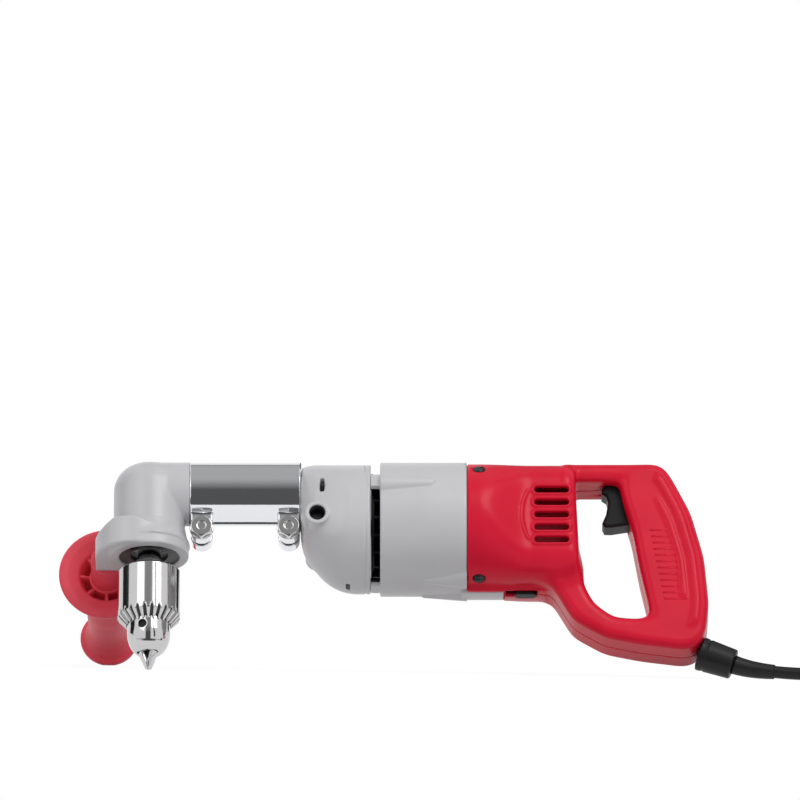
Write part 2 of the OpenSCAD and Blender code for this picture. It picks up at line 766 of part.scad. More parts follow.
module spindle_gear() color(dark_steel) posed() difference() {
  spur_gear(second_x, second_wheel, second_module,
    lay_from_spindle + 180 / second_wheel);
  rod_x(second_x[0] - 1, second_x[1] + 1, 7);
}

module output_bearing() color(steel) posed()
  translate([output_bearing_x, 0, 0]) rotate([0, 90, 0]) bearing(output_bearing_size);

module spindle_bush() color(bronze) posed() difference() {
  rod_x(bush_x, bush_x + bush_len, 6);
  rod_x(bush_x - 1, bush_x + bush_len + 1, tail_r + run_gap);
}

module layshaft() color(dark_steel) posed() translate([0, lay_y, lay_z]) {
  rod_x(case_start + 5 + side_gap, bush_x + bush_len - side_gap, lay_r);
  spur_gear([second_x[0] - 0.5, second_x[1] + 0.5], second_pinion, second_module,
    lay_from_spindle + 180);
}

module intermediate_gear() color(dark_steel) posed() translate([0, lay_y, lay_z]) difference() {
  union() {
    spur_gear(first_x, first_wheel, first_module, lay_from_motor + 180 + 180 / first_wheel);
    rod_x(second_x[1] + 1, first_x[1] + 2, 6);
  }
  rod_x(second_x[1], first_x[1] + 3, lay_r);
}

module layshaft_bushes() color(bronze) posed()
  for (x = [[case_start + 5, case_start + 12], [bush_x, bush_x + bush_len]]) difference() {
    rod_x(x[0], x[1], 5, lay_y, lay_z);
    rod_x(x[0] - 1, x[1] + 1, lay_r + run_gap, lay_y, lay_z);
  }

// Motor
module ring_sector(r0, r1, a, x0, x1) {
  translate([x0, 0, motor_z]) rotate([90, 0, 90]) rotate([0, 0, -a / 2])
    rotate_extrude(angle = a) translate([r0, 0]) square([r1 - r0, x1 - x0]);
}

module about_motor(turn) {
  translate([0, 0, motor_z]) rotate([turn, 0, 0]) translate([0, 0, -motor_z]) children();
}

module motor_housing() color(paint_grey) posed() difference() {
  union() {
    rod_x(motor_start, motor_end, motor_r, 0, motor_z);
    rod_x(motor_end - 1, motor_end + spigot_len, motor_r - 2.6, 0, motor_z);
    for (a = screw_angles)
      about_motor(180 - a) ring_sector(stator_r - 4, motor_r - 0.4, land_angle, plate_end, motor_start + 6);
    for (a = [18, 162, 258, 282])
      about_motor(180 - a) translate([motor_end - 38, motor_r - 5.5, motor_z])
        rotate([0, 90, 0]) cylinder(h = 38, r1 = 2, r2 = 7.5);
    about_motor(-90) ring_sector(motor_r - 4, motor_r - 0.2, 180 * tongue_w / (PI * motor_r),
      motor_end - 1, motor_end + tongue_len);
  }
  rod_x(motor_start + 4, core_x[1] + 3, stator_r, 0, motor_z);
  rod_x(motor_start - 1, motor_end + spigot_len + 1, stator_r - 3.5, 0, motor_z);
  for (a = screw_angles)
    rod_x(plate_end - 1, motor_start + 8, 2.5, -screw_circle * cos(a),
      motor_z + screw_circle * sin(a));
  for (a = housing_screw_angles)
    about_motor(180 - a) rod_y(motor_r - 9, motor_r + 4, 2, housing_screw_x, motor_z);
}

module stator_core() color(dark_steel) posed() difference() {
  rod_x(core_x[0], core_x[1], stator_r, 0, motor_z);
  rod_x(core_x[0] - 1, core_x[1] + 1, stator_bore, 0, motor_z);
  for (a = [90, 270])
    about_motor(a) ring_sector(stator_bore - 1, stator_r - 8, 80, core_x[0] - 1, core_x[1] + 1);
}

module stator_coils() color(copper) posed() for (a = [90, 270], s = [-1, 1]) {
  about_motor(a + s * 23)
    ring_sector(stator_bore + 1.5, stator_r - 8.2, 32, core_x[0] - 6, core_x[1] + 6);
}

module armature_shaft() color(steel) posed() translate([0, 0, motor_z]) {
  spur_gear([first_x[0] - 0.5, first_x[1] + 1], first_pinion, first_module, lay_from_motor);
  rod_x(first_x[1] + 1, front_bearing_x - side_gap, 3.3);
  rod_x(front_bearing_x - side_gap, comm_x[1] + 1, shaft_d / 2);
  rod_x(comm_x[1] + 1, rear_bearing_x + rear_bearing[2] - side_gap, rear_bearing[0]);
}

module armature_core() color(dark_steel) posed() translate([0, 0, motor_z]) difference() {
  rod_x(core_x[0], core_x[1], armature_d / 2);
  rod_x(core_x[0] - 1, core_x[1] + 1, shaft_d / 2);
  for (i = [0:11])
    rotate([i * 30, 0, 0]) translate([core_x[0] - 1, -1.2, armature_d / 2 - 7])
      cube([core_x[1] - core_x[0] + 2, 2.4, 8]);
}

module armature_windings() color(copper) posed() translate([0, 0, motor_z]) rotate([90, 0, 90])
  for (x = [core_x[0] - 7, core_x[1]])
    translate([0, 0, x]) rotate_extrude() polygon([
      [shaft_d / 2, 0], [armature_d / 2 - 4, 0], [armature_d / 2 - 2, 3.5],
      [armature_d / 2 - 4, 7], [shaft_d / 2, 7],
    ]);

module commutator() color(copper) posed() translate([0, 0, motor_z]) difference() {
  rod_x(comm_x[0], comm_x[1], comm_r);
  rod_x(comm_x[0] - 1, comm_x[1] + 1, shaft_d / 2);
  for (i = [0:17])
    rotate([i * 20, 0, 0]) translate([comm_x[0] - 1, -0.3, comm_r - 1.5])
      cube([comm_x[1] - comm_x[0] + 2, 0.6, 2]);
}

module cooling_fan() color(black) posed() translate([0, 0, motor_z]) difference() {
  union() {
    rod_x(fan_x, fan_x + 1.5, fan_r);
    rod_x(fan_x, fan_x + fan_len, 10);
    for (i = [0:fan_blades - 1])
      rotate([i * 360 / fan_blades, 0, 0]) translate([fan_x, -0.9, 8]) cube([fan_len, 1.8, fan_r - 8.1]);
  }
  rod_x(fan_x - 1, fan_x + fan_len + 1, shaft_d / 2);
}

module armature_bearings() color(steel) posed() translate([0, 0, motor_z]) {
  translate([front_bearing_x, 0, 0]) rotate([0, 90, 0]) bearing(front_bearing);
  translate([rear_bearing_x, 0, 0]) rotate([0, 90, 0]) bearing(rear_bearing);
}

module end_frame() color(black) posed() translate([0, 0, motor_z]) difference() {
  union() {
    rod_x(frame_x, frame_x + frame_h, motor_r - 4.4);
    rod_x(frame_x, rear_bearing_x + rear_bearing[2], rear_bearing[1] + 3);
  }
  rod_x(frame_x - 1, rear_bearing_x + rear_bearing[2] + 1, 7);
  rod_x(rear_bearing_x, rear_bearing_x + rear_bearing[2] + 1, rear_bearing[1]);
  for (a = [0:45:315])
    rotate([a, 0, 0]) rod_x(frame_x - 1, frame_x + frame_h + 1, 8, 0, 29);
}

brush = [9, 6];
brush_x = (comm_x[0] + comm_x[1]) / 2;

module brush_holders() color(bronze) posed() for (side = [0, 180])
  about_motor(side) translate([0, 0, motor_z]) difference() {
    translate([brush_x - brush[0] / 2 - 1.5, comm_r + 2, -brush[1] / 2 - 1.5])
      cube([frame_x - brush_x + brush[0] / 2 + 1.5, 18, brush[1] + 3]);
    translate([brush_x - brush[0] / 2, comm_r, -brush[1] / 2]) cube([brush[0], 22, brush[1]]);
  }

module carbon_brushes() color(black) posed() for (side = [0, 180])
  about_motor(side) translate([0, 0, motor_z]) difference() {
    translate([brush_x - brush[0] / 2, comm_r - 2, -brush[1] / 2]) cube([brush[0], 16, brush[1]]);
    rod_x(comm_x[0] - 5, comm_x[1] + 5, comm_r + slide_gap);
  }

// D-handle shells
module round_slab(r, half_w, edge) {
  e = min(r, edge);
  rotate([90, 0, 0]) rotate_extrude($fn = hull_fn) polygon(concat(
    [[0, -half_w]],
    [for (a = [-90:30:0]) [r - e + e * cos(a), -half_w + e + e * sin(a)]],
    [for (a = [0:30:90]) [r - e + e * cos(a), half_w - e + e * sin(a)]],
    [[0, half_w]]
  ));
}

module station(s, inset, width = handle_w) {
  translate([s[0], 0, s[1]])
    round_slab(s[2] - inset, width / 2 - inset, handle_edge - inset);
}

module post(inset) {
  station(stations[0], inset, post_w);
  station(stations[len(stations) - 1], inset, post_w);
}

module handle_form(inset) {
  for (i = [0:len(stations) - 2]) hull() {
    station(stations[i], inset);
    station(stations[i + 1], inset);
  }
  hull() {
    rod_x(motor_end + side_gap - inset, motor_end + bell_len, shell_r - inset, 0, motor_z, $fn = 48);
    translate([-post_len, 0, 0]) post(inset);
  }
  hull() {
    translate([-post_len, 0, 0]) post(inset);
    post(inset);
  }
}

module trigger_axis() {
  translate([trigger_x, 0, trigger_top]) rotate([0, -grip_lean, 0]) children();
}

module shell_cuts() {
  for (i = [0:vent_slots - 1], side = [-1, 1])
    translate([vent_x[0], side > 0 ? 8 : -60, vent_top - vent_pitch * i - vent_h / 2])
      cube([vent_x[1] - vent_x[0], 52, vent_h]);
  trigger_axis() translate([-20, -trigger_w / 2 - side_gap, -trigger_h - side_gap])
    cube([45, trigger_w + 2 * side_gap, trigger_h + 2 * side_gap]);
  translate([motor_end - 5, -tongue_w / 2 - side_gap, motor_z - 60])
    cube([tongue_len + 5 + side_gap, tongue_w + 2 * side_gap, 60 - motor_r + 8]);
  translate([lever_x - lever_size[0] / 2 - lever_travel - side_gap, -lever_size[1] / 2 - side_gap,
    motor_z - 70])
    cube([lever_size[0] + lever_travel + 2 * side_gap, lever_size[1] + 2 * side_gap, 50]);
  for (a = housing_screw_angles) about_motor(180 - a) {
    rod_y(motor_r - 12, motor_r + 12, 2.4, housing_screw_x, motor_z, $fn = 16);
    rod_y(motor_r - 1.6, motor_r + 12, 4.6, housing_screw_x, motor_z, $fn = 24);
  }
  guard_axis() cylinder(h = 60, r = 30, $fn = 24);
  guard_axis() translate([0, 0, -10]) cylinder(h = 11, r = guard_neck_r + 0.1, $fn = 48);
}

module shell_half(side) {
  difference() {
    union() {
      difference() {
        handle_form(0);
        handle_form(shell_wall);
      }
      intersection() {
        handle_form(1);
        union() {
          for (s = shell_screw_spots)
            rod_y(-handle_w / 2, handle_w / 2, 4.2, s[0], s[1], $fn = 16);
          guard_axis() translate([0, 0, -4]) cylinder(h = 4, r = 30, $fn = 24);
        }
      }
    }
    shell_cuts();
    for (s = shell_screw_spots) {
      rod_y(-handle_w / 2 + 6, handle_w / 2 + 1, 1.8, s[0], s[1], $fn = 16);
      rod_y(handle_w / 2 - 4, handle_w / 2 + 1, 3.4, s[0], s[1], $fn = 16);
    }
    translate([0, side > 0 ? -100 : 0, -200]) cube([600, 100, 300]);
  }
}

module handle_shell_front() color(shell_red) posed() shell_half(-1);

module handle_shell_rear() color(shell_red) posed() shell_half(1);

module housing_screws() color(dark_steel) posed()
  for (a = housing_screw_angles) about_motor(180 - a) difference() {
    union() {
      rod_y(motor_r - 8, motor_r - 1.6, 2, housing_screw_x, motor_z);
      rod_y(motor_r - 1.6, motor_r + 0.6, 4.2, housing_screw_x, motor_z);
    }
    translate([housing_screw_x - 5, motor_r - 0.4, motor_z - 0.5]) cube([10, 2, 1]);
  }

module shell_screws() color(dark_steel) posed() for (s = shell_screw_spots) {
  rod_y(-handle_w / 2 + 7, handle_w / 2 - 4, 1.6, s[0], s[1]);
  rod_y(handle_w / 2 - 4, handle_w / 2 - 1.5, 3.1, s[0], s[1]);
}

module switch_body() color(black) posed() trigger_axis()
  translate([trigger_depth + trigger_travel + 1.2, -switch_size[1] / 2, -switch_size[2] - 12])
    cube([switch_size[0], switch_size[1], switch_size[2]]);

// Trigger: hooked top, hollow front and a flared foot
module trigger() color(black) posed() trigger_axis()
  extrude_y(-trigger_w / 2, trigger_w / 2) polygon([
    [0, -6], [2, -1], [6, 0], [trigger_depth, 0], [trigger_depth, -trigger_h],
    [8, -trigger_h], [3, -trigger_h + 1.5], [1.5, -trigger_h + 5], [5, -trigger_h + 10],
    [5.5, -12], [3.5, -9],
  ]);

module reversing_lever() color(black) posed() {
  translate([lever_x, 0, 0]) {
    translate([-lever_size[0] / 2, -lever_size[1] / 2, motor_z - shell_r - 3])
      cube([lever_size[0], lever_size[1], 11.5]);
    translate([-lever_size[0] / 2 - 2.5, -lever_size[1] / 2 - 3, motor_z - shell_r + 8.5])
      cube([lever_size[0] + 5, lever_size[1] + 6, 2.5]);
  }
}

// Cord guard, cord and plug
module guard_axis() {
  translate([guard_root[0], 0, guard_root[1]]) rotate([0, 90 + guard_angle, 0]) children();
}

module cord_guard() color(black) posed() guard_axis() rotate_extrude() polygon([
  [0, -9], [guard_neck_r, -9], [guard_neck_r, 0], [guard_root_r - 1, 0], [guard_root_r, 1],
  [guard_root_r - 0.4, 8], [guard_end_r, guard_root_len], [0, guard_root_len],
]);

// The cord leaves the guard, lies on the floor and ends in a flat coil
lead = concat(
  [cord_exit],
  [for (p = lead_route) [cord_exit[0] + p[0], cord_exit[1] + p[1], p[2]]],
  [coil_point(0)]
);
relief_dir = tangent(lead, relief_points);

// Coil: inwards on the floor, half a turn up, then outwards on top
function coil_radius(turn) =
  turn < climb ? coil_out - coil_step * turn
  : let (low = coil_out - coil_step * climb, past = turn - climb)
    past < 1 ? low + 1.5 * coil_step * past : low + coil_step * (past + 0.5);
function coil_height(turn) =
  let (t = max(0, min(1, (turn - climb + 0.5) / 0.5)))
  coil_lift + cord_r + coil_step * t * t * (3 - 2 * t);
function coil_point(turn) =
  let (a = turn * 360 - 90, r = coil_radius(turn))
  [coil_centre[0] + r * cos(a), coil_centre[1] + r * sin(a), coil_height(turn)];
function coil_path() = [for (i = [0:coil_rings]) coil_point(coil_turns * i / coil_rings)];

function tangent(path, i) = unit(path[min(len(path) - 1, i + 1)] - path[max(0, i - 1)]);
function ring(p, t, r) =
  let (side = unit(cross([0, 0, 1], t)), over = cross(t, side), big = r / cos(180 / cord_sides))
  [for (k = [0:cord_sides - 1])
    let (a = (k + 0.5) * 360 / cord_sides) p + big * (cos(a) * side + sin(a) * over)];

module sweep(path, radii, first, last) {
  n = len(path);
  m = cord_sides;
  dirs = [for (i = [0:n - 1]) i == 0 ? first : i == n - 1 ? last : tangent(path, i)];
  points = [for (i = [0:n - 1]) each ring(path[i], dirs[i], radii[min(i, len(radii) - 1)])];
  faces = concat(
    [[for (k = [0:m - 1]) k]],
    [for (i = [0:n - 2], k = [0:m - 1])
      let (a = i * m + k, b = i * m + (k + 1) % m)
      each [[a, a + m, b], [b, a + m, b + m]]],
    [[for (k = [m - 1:-1:0]) (n - 1) * m + k]]
  );
  polyhedron(points, faces);
}

module strain_relief() color(black)
  sweep([for (i = [0:relief_points]) lead[i]],
    [for (i = [0:relief_points]) guard_thin_r - (guard_thin_r - cord_r - 0.8) * i / relief_points],
    cord_dir, relief_dir);

module cord_run() color(black)
  sweep([for (i = [relief_points:len(lead) - 1]) lead[i]], [cord_r], relief_dir, [1, 0, 0]);

module cord_coil() color(black)
  sweep(concat(coil_path(), [plug_start]), [cord_r], [1, 0, 0], plug_dir);

// A flat tie round the turns, and the least gap between two turns
tie_in = coil_radius(tie_turns[1]) - cord_r - tie_gap;
tie_out = coil_radius(tie_turns[0]) + cord_r + tie_gap;
tie_top = coil_lift + 2 * cord_r + coil_step + tie_gap;

module cord_tie() color(black)
  translate([coil_centre[0], coil_centre[1], 0]) rotate(tie_turns[0] * 360 - 90) rotate([90, 0, 0])
    linear_extrude(tie_w, center = true) difference() {
      translate([tie_in - tie_h, 0]) square([tie_out - tie_in + 2 * tie_h, tie_top + tie_h]);
      translate([tie_in, tie_h]) square([tie_out - tie_in, tie_top - tie_h]);
    }

function least_gap(path, apart) = min([
  for (i = [0:len(path) - 1], j = [i + apart:1:len(path) - 1]) norm(path[i] - path[j])
]) - cord_d;
echo(coil_gap = least_gap(coil_path(), 12));

module plug_axis() {
  translate(plug_start) rotate([0, 90, plug_angle]) children();
}

module plug_body() color(black) plug_axis() rotate_extrude() polygon([
  [0, 0], [cord_r + 1.5, 0], [cord_r + 2.5, 14], [plug_r - 1, 20], [plug_r, 22], [plug_r, 42],
  [plug_r - 1, 44], [0, 44],
]);

module plug_blades() color(steel) plug_axis() {
  for (side = [-6.35, 6.35]) translate([-5 - 3.2, side - 0.75, 44]) cube([6.4, 1.5, 16]);
  translate([6.5, 0, 44]) cylinder(h = 18, d = 4.8);
}

head_housing();
bearing_retainer();
input_bearings();
spindle_bearings();
input_shaft();
bevel_pinion();
chuck_spindle();
bevel_gear();
chuck_body();
chuck_nose();
chuck_sleeve();
chuck_nut();
jaw_1();
jaw_2();
jaw_3();
side_handle_grip();
side_handle_stud();
coupling_sleeve();
clamp_screws();
clamp_nuts();
gear_case();
gear_case_screws();
socket_plug();
gear_plate();
output_spindle();
spindle_gear();
output_bearing();
spindle_bush();
layshaft();
intermediate_gear();
layshaft_bushes();
motor_housing();
stator_core();
stator_coils();
armature_shaft();
armature_core();
armature_windings();
commutator();
cooling_fan();
armature_bearings();
end_frame();
brush_holders();
carbon_brushes();
handle_shell_front();
handle_shell_rear();
housing_screws();
shell_screws();
switch_body();
trigger();
reversing_lever();
cord_guard();
strain_relief();
cord_run();
cord_coil();
cord_tie();
plug_body();
plug_blades();
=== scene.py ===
"""Looks of a right angle drill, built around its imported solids."""

import json
from math import cos, pi, radians, sin, sqrt

import bmesh
import bpy
import numpy as np
import openvdb
from mathutils import Matrix, Vector
from numpy import hypot


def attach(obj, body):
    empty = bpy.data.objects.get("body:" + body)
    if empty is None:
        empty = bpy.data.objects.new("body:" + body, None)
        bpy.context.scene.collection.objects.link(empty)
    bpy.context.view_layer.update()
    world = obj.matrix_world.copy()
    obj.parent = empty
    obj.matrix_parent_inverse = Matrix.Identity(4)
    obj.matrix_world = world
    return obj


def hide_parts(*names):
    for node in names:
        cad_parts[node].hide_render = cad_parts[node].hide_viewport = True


MM = 0.001

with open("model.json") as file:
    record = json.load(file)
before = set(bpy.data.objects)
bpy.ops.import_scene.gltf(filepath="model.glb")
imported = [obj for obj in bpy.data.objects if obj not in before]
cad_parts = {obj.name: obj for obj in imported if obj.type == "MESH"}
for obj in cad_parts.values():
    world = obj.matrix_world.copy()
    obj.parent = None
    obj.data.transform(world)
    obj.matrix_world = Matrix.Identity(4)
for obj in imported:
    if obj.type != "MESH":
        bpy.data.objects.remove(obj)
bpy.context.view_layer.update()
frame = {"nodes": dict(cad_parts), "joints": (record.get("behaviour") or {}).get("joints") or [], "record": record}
nodes = frame["nodes"]
joints = {joint["name"]: joint for joint in frame["joints"]}

# Tool axes, read from the joints: x along the spindle, z along the chuck, y to the far side
TOOL_X = Vector(joints["head_swivel"]["axis"]).normalized()
TOOL_Z = Vector(joints["chuck_spin"]["axis"]).normalized()
TOOL_Y = TOOL_Z.cross(TOOL_X)
swivel_point = Vector(joints["head_swivel"]["pos_m"])
chuck_point = Vector(joints["chuck_spin"]["pos_m"])
TOOL_ORIGIN = swivel_point + TOOL_X * (chuck_point - swivel_point).dot(TOOL_X)
TOOL_AXES = np.array([TOOL_X, TOOL_Y, TOOL_Z])


def row_point(x, y, z):
    """A point given in tool axes, in millimetres, as a point of the row frame."""
    return TOOL_ORIGIN + (TOOL_X * x + TOOL_Y * y + TOOL_Z * z) * MM


def extent(*names):
    """The lowest and highest corner of CAD nodes, in tool axes and millimetres."""
    points = np.array([corner.co for name in names for corner in nodes[name].data.vertices])
    local = (points - np.array(TOOL_ORIGIN)) @ TOOL_AXES.T / MM
    return local.min(0), local.max(0)


# Shader and geometry nodes


class Socket:
    """A shader value that takes part in Python expressions."""

    def __init__(self, tree, socket):
        self.tree, self.socket = tree, socket

    def math(self, operation, *others):
        return self.tree.node("ShaderNodeMath", [self, *others], operation=operation)

    def __add__(self, other):
        return self.math("ADD", other)

    def __sub__(self, other):
        return self.math("SUBTRACT", other)

    def __rsub__(self, other):
        return self.tree.node("ShaderNodeMath", [other, self], operation="SUBTRACT")

    def __mul__(self, other):
        return self.math("MULTIPLY", other)

    __radd__, __rmul__ = __add__, __mul__

    def step(self, low, high):
        """0 below low and 1 above high, smooth between them."""
        inputs = {"Value": self, 1: low, 2: high}
        return self.tree.node("ShaderNodeMapRange", inputs, interpolation_type="SMOOTHSTEP")


class Tree:
    """A node tree that is written as expressions."""

    def __init__(self, tree):
        self.nodes, self.links = tree.nodes, tree.links

    def node(self, kind, inputs=(), output=0, **settings):
        made = self.nodes.new(kind)
        for key, value in settings.items():
            setattr(made, key, value)
        pairs = inputs.items() if isinstance(inputs, dict) else enumerate(inputs)
        for key, value in pairs:
            self.plug(made.inputs[key], value)
        return Socket(self, made.outputs[output])

    def plug(self, socket, value):
        if isinstance(value, Socket):
            self.links.new(value.socket, socket)
        else:
            socket.default_value = value


class Finish(Tree):
    """One material and the nodes that make it."""

    def __init__(self, name):
        self.material = bpy.data.materials.new(name)
        self.material.use_nodes = True
        super().__init__(self.material.node_tree)
        self.shader = self.nodes["Principled BSDF"]

    def set(self, **values):
        for name, value in values.items():
            self.plug(self.shader.inputs[name.replace("_", " ")], value)
        return self

    def place(self):
        return self.node("ShaderNodeTexCoord", output="Object")

    def noise(self, scale, detail=3.0):
        return self.node("ShaderNodeTexNoise", {"Vector": self.place(), "Scale": scale, "Detail": detail})

    def blend(self, factor, first, second):
        inputs = {"Factor": factor, 6: first, 7: second}
        return self.node("ShaderNodeMix", inputs, output=2, data_type="RGBA")

    def bump(self, height, strength, distance):
        inputs = {"Height": height, "Strength": strength, "Distance": distance}
        return self.node("ShaderNodeBump", inputs)

    def grey(self, tone):
        return self.node("ShaderNodeCombineColor", [tone, tone, tone])


def colour(red, green, blue):
    """An sRGB colour, given in 0 to 255, as the linear colour that Blender mixes."""
    channels = [c / 255 for c in (red, green, blue)]
    return tuple(c / 12.92 if c <= 0.04045 else ((c + 0.055) / 1.055) ** 2.4 for c in channels) + (1.0,)


def paint_finish():
    f = Finish("grey_paint")
    f.set(
        Base_Color=f.blend(f.noise(25.0).step(0.3, 0.7), colour(202, 202, 205), colour(198, 198, 201)),
        Roughness=0.30 + 0.06 * f.noise(900.0),
        Normal=f.bump(f.noise(1500.0, 2.0), 0.06, 0.0003),
    )
    return f.material


def plated_finish(name, tint, rough):
    f = Finish(name)
    f.set(Base_Color=colour(*tint), Metallic=1.0, Roughness=rough + 0.04 * f.noise(220.0))
    return f.material


def moulded_finish(name, tone, deep, rough, sheen):
    f = Finish(name)
    f.set(
        Base_Color=f.blend(f.noise(40.0).step(0.3, 0.75), colour(*tone), colour(*deep)),
        Roughness=rough + 0.08 * f.noise(700.0), Specular_IOR_Level=sheen,
        Normal=f.bump(f.noise(2600.0, 2.0), 0.03, 0.0002),
    )
    return f.material


# Tint and roughness of what is plated; two tones, roughness and sheen of what is moulded
PLATED = {
    "chrome": ((228, 229, 232), 0.05), "polished_steel": ((198, 197, 197), 0.08), "steel": ((200, 200, 202), 0.14),
    "dark_steel": ((62, 62, 65), 0.36), "bronze": ((190, 150, 90), 0.35), "copper": ((196, 120, 78), 0.35),
}
MOULDED = {
    "red_plastic": ((220, 16, 52), (213, 12, 48), 0.28, 0.2),
    "guard_plastic": ((240, 84, 100), (233, 76, 92), 0.38, 0.2),
    "black_plastic": ((16, 16, 17), (12, 12, 13), 0.36, 0.22),
    "black_rubber": ((16, 16, 17), (12, 12, 13), 0.42, 0.3),
}
finishes = {"grey_paint": paint_finish()}
finishes.update((name, plated_finish(name, *look)) for name, look in PLATED.items())
finishes.update((name, moulded_finish(name, *look)) for name, look in MOULDED.items())

slot_of = {row["node"]: row["material_slot"] for row in frame["record"]["subparts"]}
for name, node in nodes.items():
    node.data.materials.clear()
    node.data.materials.append(finishes[slot_of[name]])

# Solids by distance: each form gives, in tool axes and millimetres, its distance from a grid of points.
# A cut runs past the face that it opens, and a moving piece has play in its slot.

PAST, PLAY = 9.0, 0.5


def meet(first, *others):
    """The highest of values at each point: what forms share, with sharp edges."""
    for other in others:
        first = np.maximum(first, other)
    return first


def join(first, *others):
    """The lowest of values at each point: forms together, with sharp edges."""
    for other in others:
        first = np.minimum(first, other)
    return first


def weld(a, b, k):
    """a and b together, with a fillet of k between them."""
    h = np.clip(0.5 + 0.5 * (b - a) / k, 0, 1)
    return b + (a - b) * h - k * h * (1 - h)


def carve(a, b, k):
    """a without b, with its new edges rounded over k."""
    return -weld(-a, b, k)


def trim(a, b, k):
    """What a and b share, with its edges rounded over k."""
    return -weld(-a, -b, k)


def rounded(across, along, edge):
    """Joins a distance across a rod and one along it, with the rim rounded by edge."""
    p, q = across + edge, along + edge
    return np.minimum(np.maximum(p, q), 0) + hypot(np.maximum(p, 0), np.maximum(q, 0)) - edge


def span(v, low, high):
    return abs(v - (low + high) / 2) - (high - low) / 2


def rod_x(p, low, high, radius, y=0.0, z=0.0, edge=0.4):
    return rounded(hypot(p[1] - y, p[2] - z) - radius, span(p[0], low, high), edge)


def rod_y(p, low, high, radius, x=0.0, z=0.0, edge=0.4):
    return rounded(hypot(p[0] - x, p[2] - z) - radius, span(p[1], low, high), edge)


def rod_z(p, low, high, radius, x=0.0, y=0.0, edge=0.4):
    return rounded(hypot(p[0] - x, p[1] - y) - radius, span(p[2], low, high), edge)


def cone(height, across, low, high, r_low, r_high, edge=0.4):
    """A cone frustum: height runs along its axis and across is the distance from the axis."""
    slope = (r_high - r_low) / (high - low)
    side = (across - r_low - (height - low) * slope) / hypot(1, slope)
    return rounded(side, span(height, low, high), edge)


def block(u, v, half_u, half_v, corner):
    return rounded(abs(u) - half_u, abs(v) - half_v, corner)


def link(u, v, a, b):
    """Distance from the band that wraps two circles (u, v, radius)."""
    du, dv = b[0] - a[0], b[1] - a[1]
    length = hypot(du, dv)
    du, dv = du / length, dv / length
    along = (u - a[0]) * du + (v - a[1]) * dv
    off = abs((v - a[1]) * du - (u - a[0]) * dv)
    lean = (a[2] - b[2]) / length
    flat = sqrt(max(0.0, 1 - lean * lean))
    key = along * flat - off * lean
    start = hypot(off, along) - a[2]
    end = hypot(off, along - length) - b[2]
    side = off * flat + along * lean - a[2]
    return np.where(key < 0, start, np.where(key > length * flat, end, side))


def polygon(u, v, corners):
    """Signed distance from a polygon, negative inside."""
    best = np.full(np.broadcast(u, v).shape, 1e9)
    inside = np.zeros(best.shape, bool)
    for (ax, ay), (bx, by) in zip(corners, corners[1:] + corners[:1]):
        ex, ey = bx - ax, by - ay
        t = np.clip(((u - ax) * ex + (v - ay) * ey) / (ex * ex + ey * ey), 0, 1)
        best = np.minimum(best, hypot(u - ax - t * ex, v - ay - t * ey))
        if ay != by:
            inside ^= ((ay > v) != (by > v)) & (u < (bx - ax) * (v - ay) / (by - ay) + ax)
    return np.where(inside, -best, best)


def sharpen(form, points, step, rounds=4, pull=0.9, reach=8):
    """Moves mesh points onto the form's true surface."""
    for _ in range(rounds):
        here = form(points.T)
        slope = np.empty_like(points)
        for axis in range(3):
            ahead = points.copy()
            ahead[:, axis] += step
            slope[:, axis] = (form(ahead.T) - here) / step
        size = np.maximum((slope**2).sum(1), 0.2)
        points = points - pull * slope * (np.clip(here, -step * reach, step * reach) / size)[:, None]
    return points


def new_object(name, data):
    made = bpy.data.objects.new(name, data)
    bpy.context.scene.collection.objects.link(made)
    return made


def new_mesh(name, points, faces=()):
    mesh = bpy.data.meshes.new(name)
    mesh.from_pydata(points, [], faces)
    return mesh


def piece(*given):
    """Makes a form into the piece that it is named for: (low, high, voxel, slot, body, *replaced)."""

    def make(form):
        mesh_of(form.__name__, form, *given)
        return form

    return make


def mesh_of(name, form, low, high, voxel, slot, body, *replaced):
    """Meshes a form inside the box from low to high, in tool axes, and sets it in the row frame."""
    low, high = np.array(low, float), np.array(high, float)
    counts = np.ceil((high - low) / voxel).astype(int) + 1
    axes = [low[i] + voxel * np.arange(counts[i]) for i in range(3)]
    field = form(np.meshgrid(*axes, indexing="ij", sparse=True))
    field = np.ascontiguousarray(np.broadcast_to(field, counts), np.float32)
    grid = openvdb.FloatGrid(background=3 * voxel)
    grid.copyFromArray(np.clip(field, -3 * voxel, 3 * voxel))
    points, triangles, quads = grid.convertToPolygons(isovalue=0.0, adaptivity=0.0)
    points = sharpen(form, low + points.astype(float) * voxel, voxel / 20)
    faces = [tuple(q) for q in quads] + [tuple(t) for t in triangles]
    return add_piece(name, np.array(TOOL_ORIGIN) + points @ TOOL_AXES * MM, faces, slot, body, *replaced)


def add_piece(name, points, faces, slot, body, *replaced):
    mesh = new_mesh(name, np.asarray(points).tolist(), faces)
    made = bmesh.new()
    made.from_mesh(mesh)
    bmesh.ops.recalc_face_normals(made, faces=made.faces)
    made.to_mesh(mesh)
    made.free()
    mesh.polygons.foreach_set("use_smooth", [True] * len(mesh.polygons))
    mesh.materials.append(finishes[slot])
    added = new_object(name, mesh)
    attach(added, body)
    if replaced:
        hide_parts(*replaced)
    return added


# Geometry trees: named inputs, then Realize Instances and Set Material at the end

TUBE_SIDES, BAR_SIDES, HEAD_SIDES = 20, 10, 28


